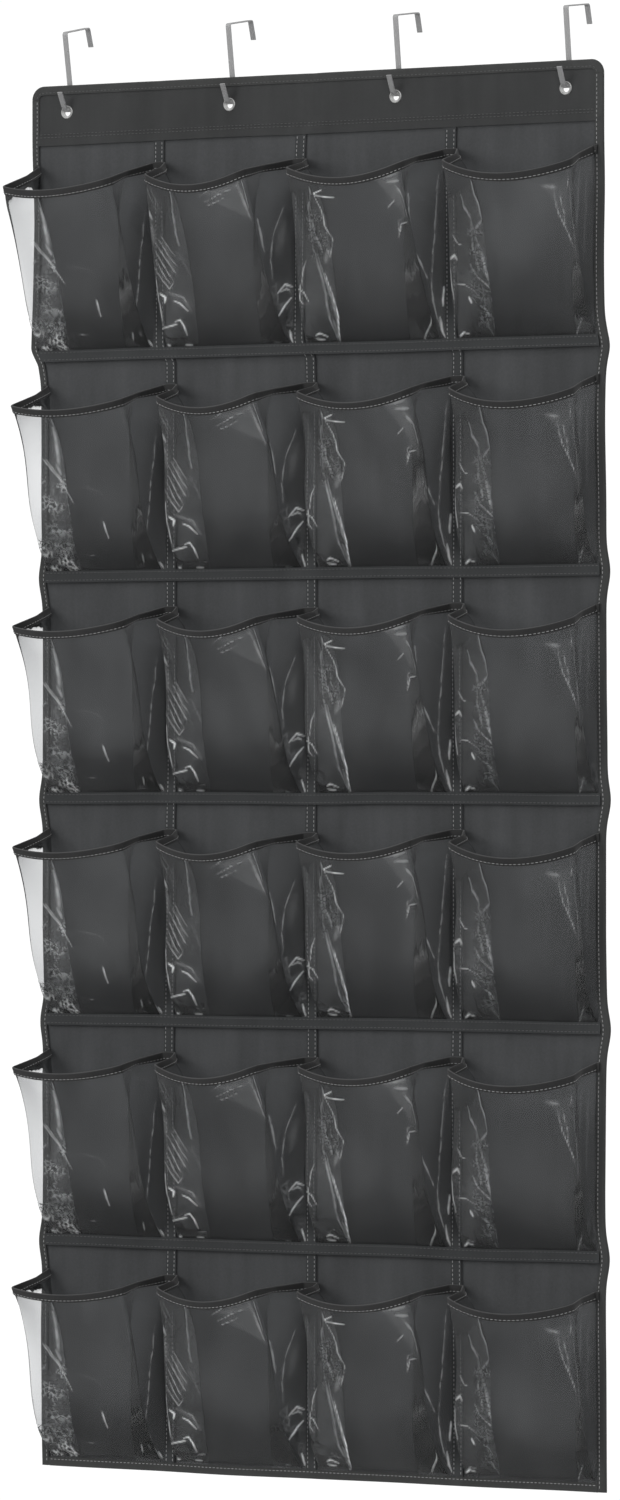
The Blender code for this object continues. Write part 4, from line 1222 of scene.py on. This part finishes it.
def strip_section():
    """Flat strip with rounded edges, as (width, thickness)."""
    half, thin, edge = STRIP_WIDTH / 2, STRIP_THICKNESS / 2, 0.00045
    section = []
    for x, y, start in ((half, thin, 0), (-half, thin, 90), (-half, -thin, 180), (half, -thin, 270)):
        centre = (x - math.copysign(edge, x), y - math.copysign(edge, y))
        section += arc(centre, edge, start, start + 90, 3)
    return np.array(section)


def build_hooks():
    line = hook_line()
    tangent = unit(np.gradient(line, axis=0))
    for number, (joint, lean) in enumerate(zip(frame["joints"], HOOK_LEANS), start=1):
        pivot = np.array(joint["pos_m"])
        turn = math.radians(lean)

        def leaned(pairs):
            y = pairs[:, 0] * math.cos(turn) - pairs[:, 1] * math.sin(turn)
            z = pairs[:, 0] * math.sin(turn) + pairs[:, 1] * math.cos(turn)
            return np.stack([0 * y, y, z], axis=-1)

        path = leaned(line) + pivot
        thin = leaned(np.stack([tangent[:, 1], -tangent[:, 0]], axis=-1))
        wide = np.tile((1.0, 0.0, 0.0), (len(path), 1))
        name = f"door_hook_{number}"
        piece = sweep(name, path, wide, thin, strip_section(), STEEL, hung=False)
        settle(piece, f"hook_{number}", body=joint["child"])


# ---------------------------------------------------------------- stage, lights, camera

DOOR_HEIGHT = 2.03
CAMERA_DISTANCE = 8.3
CAMERA_TURN = math.radians(30)
FOCAL_LENGTH = 193.0
SENSOR = 36.0


def build_stage():
    size, height = 4.0, -DOOR_HEIGHT
    x, y = np.meshgrid(np.linspace(-size, size, 9), np.linspace(-size - 1.0, size, 9))
    points = np.stack([x, y, np.full_like(x, height)], axis=-1)
    nodes = material_nodes("pale_floor")
    tone = nodes.mix_colour(nodes.noise(3.0, 3.0), (0.86, 0.86, 0.86), (0.92, 0.92, 0.92))
    look = nodes.principled({"Base Color": tone, "Roughness": 0.9})
    floor = add_mesh("floor", points, grid_faces(9, 9), look)
    floor.visible_glossy = False


def build_world():
    """Plain white behind the object, and a dimmer surround that lights it."""
    world = bpy.data.worlds.new("studio")
    bpy.context.scene.world = world
    nodes = Nodes(world, "ShaderNodeOutputWorld")

    def glow(colour, strength):
        return nodes.add("ShaderNodeBackground", {"Color": (*colour, 1), "Strength": strength}).outputs[0]

    # What shiny things mirror: a bright room above and a dark one below
    where = nodes.add("ShaderNodeTexCoord").outputs["Generated"]
    height = nodes.add("ShaderNodeSeparateXYZ", {0: where}).outputs["Z"]
    mirrored = glow((0.8, 0.8, 0.8), nodes.between(height, -0.60, 0.40, 0.06, 0.66))
    rays = nodes.add("ShaderNodeLightPath").outputs
    lit = {0: rays["Is Glossy Ray"], 1: glow((0.97, 0.98, 1.0), 0.38), 2: mirrored}
    lit = nodes.add("ShaderNodeMixShader", lit).outputs[0]
    seen = {0: rays["Is Camera Ray"], 1: lit, 2: glow((1, 1, 1), 1.05)}
    nodes.finish(nodes.add("ShaderNodeMixShader", seen))


def area_light(name, place, target, size, power):
    light = bpy.data.lights.new(name, "AREA")
    light.shape = "RECTANGLE"
    light.size, light.size_y = size
    light.energy = power
    lamp = bpy.data.objects.new(name, light)
    bpy.context.scene.collection.objects.link(lamp)
    lamp.location = place
    aim = Vector(target) - Vector(place)
    lamp.rotation_euler = aim.to_track_quat("-Z", "Y").to_euler()
    lamp.visible_camera = lamp.visible_glossy = False


def build_lights():
    middle = tuple(PANEL_MIDDLE)
    area_light("key", (-2.4, -3.6, 0.9), middle, (2.0, 2.6), 78)
    area_light("fill", (3.2, -3.4, -0.2), middle, (2.4, 2.4), 40)
    area_light("top", (0.3, -1.6, 1.9), (0, -0.1, -0.6), (1.6, 0.8), 14)
    area_light("back", (0.8, 3.4, 0.4), middle, (2.2, 2.2), 60)


def build_camera():
    data = bpy.data.cameras.new("camera")
    data.sensor_fit = "VERTICAL"
    data.sensor_height = SENSOR
    data.lens = FOCAL_LENGTH
    data.shift_x = -0.002
    data.shift_y = 0.0173
    data.clip_end = 60.0
    camera = bpy.data.objects.new("camera", data)
    bpy.context.scene.collection.objects.link(camera)
    away = Vector((math.sin(CAMERA_TURN), -math.cos(CAMERA_TURN), 0.0))
    camera.location = PANEL_MIDDLE + away * CAMERA_DISTANCE
    camera.rotation_euler = (math.radians(90), 0.0, CAMERA_TURN)
    bpy.context.scene.camera = camera
    bpy.context.scene.view_settings.view_transform = "Standard"


build_camera()
build_world()
build_lights()
build_stage()
build_cloths()
build_bindings()
build_tapes()
build_pockets()
build_eyelets()
build_hooks()
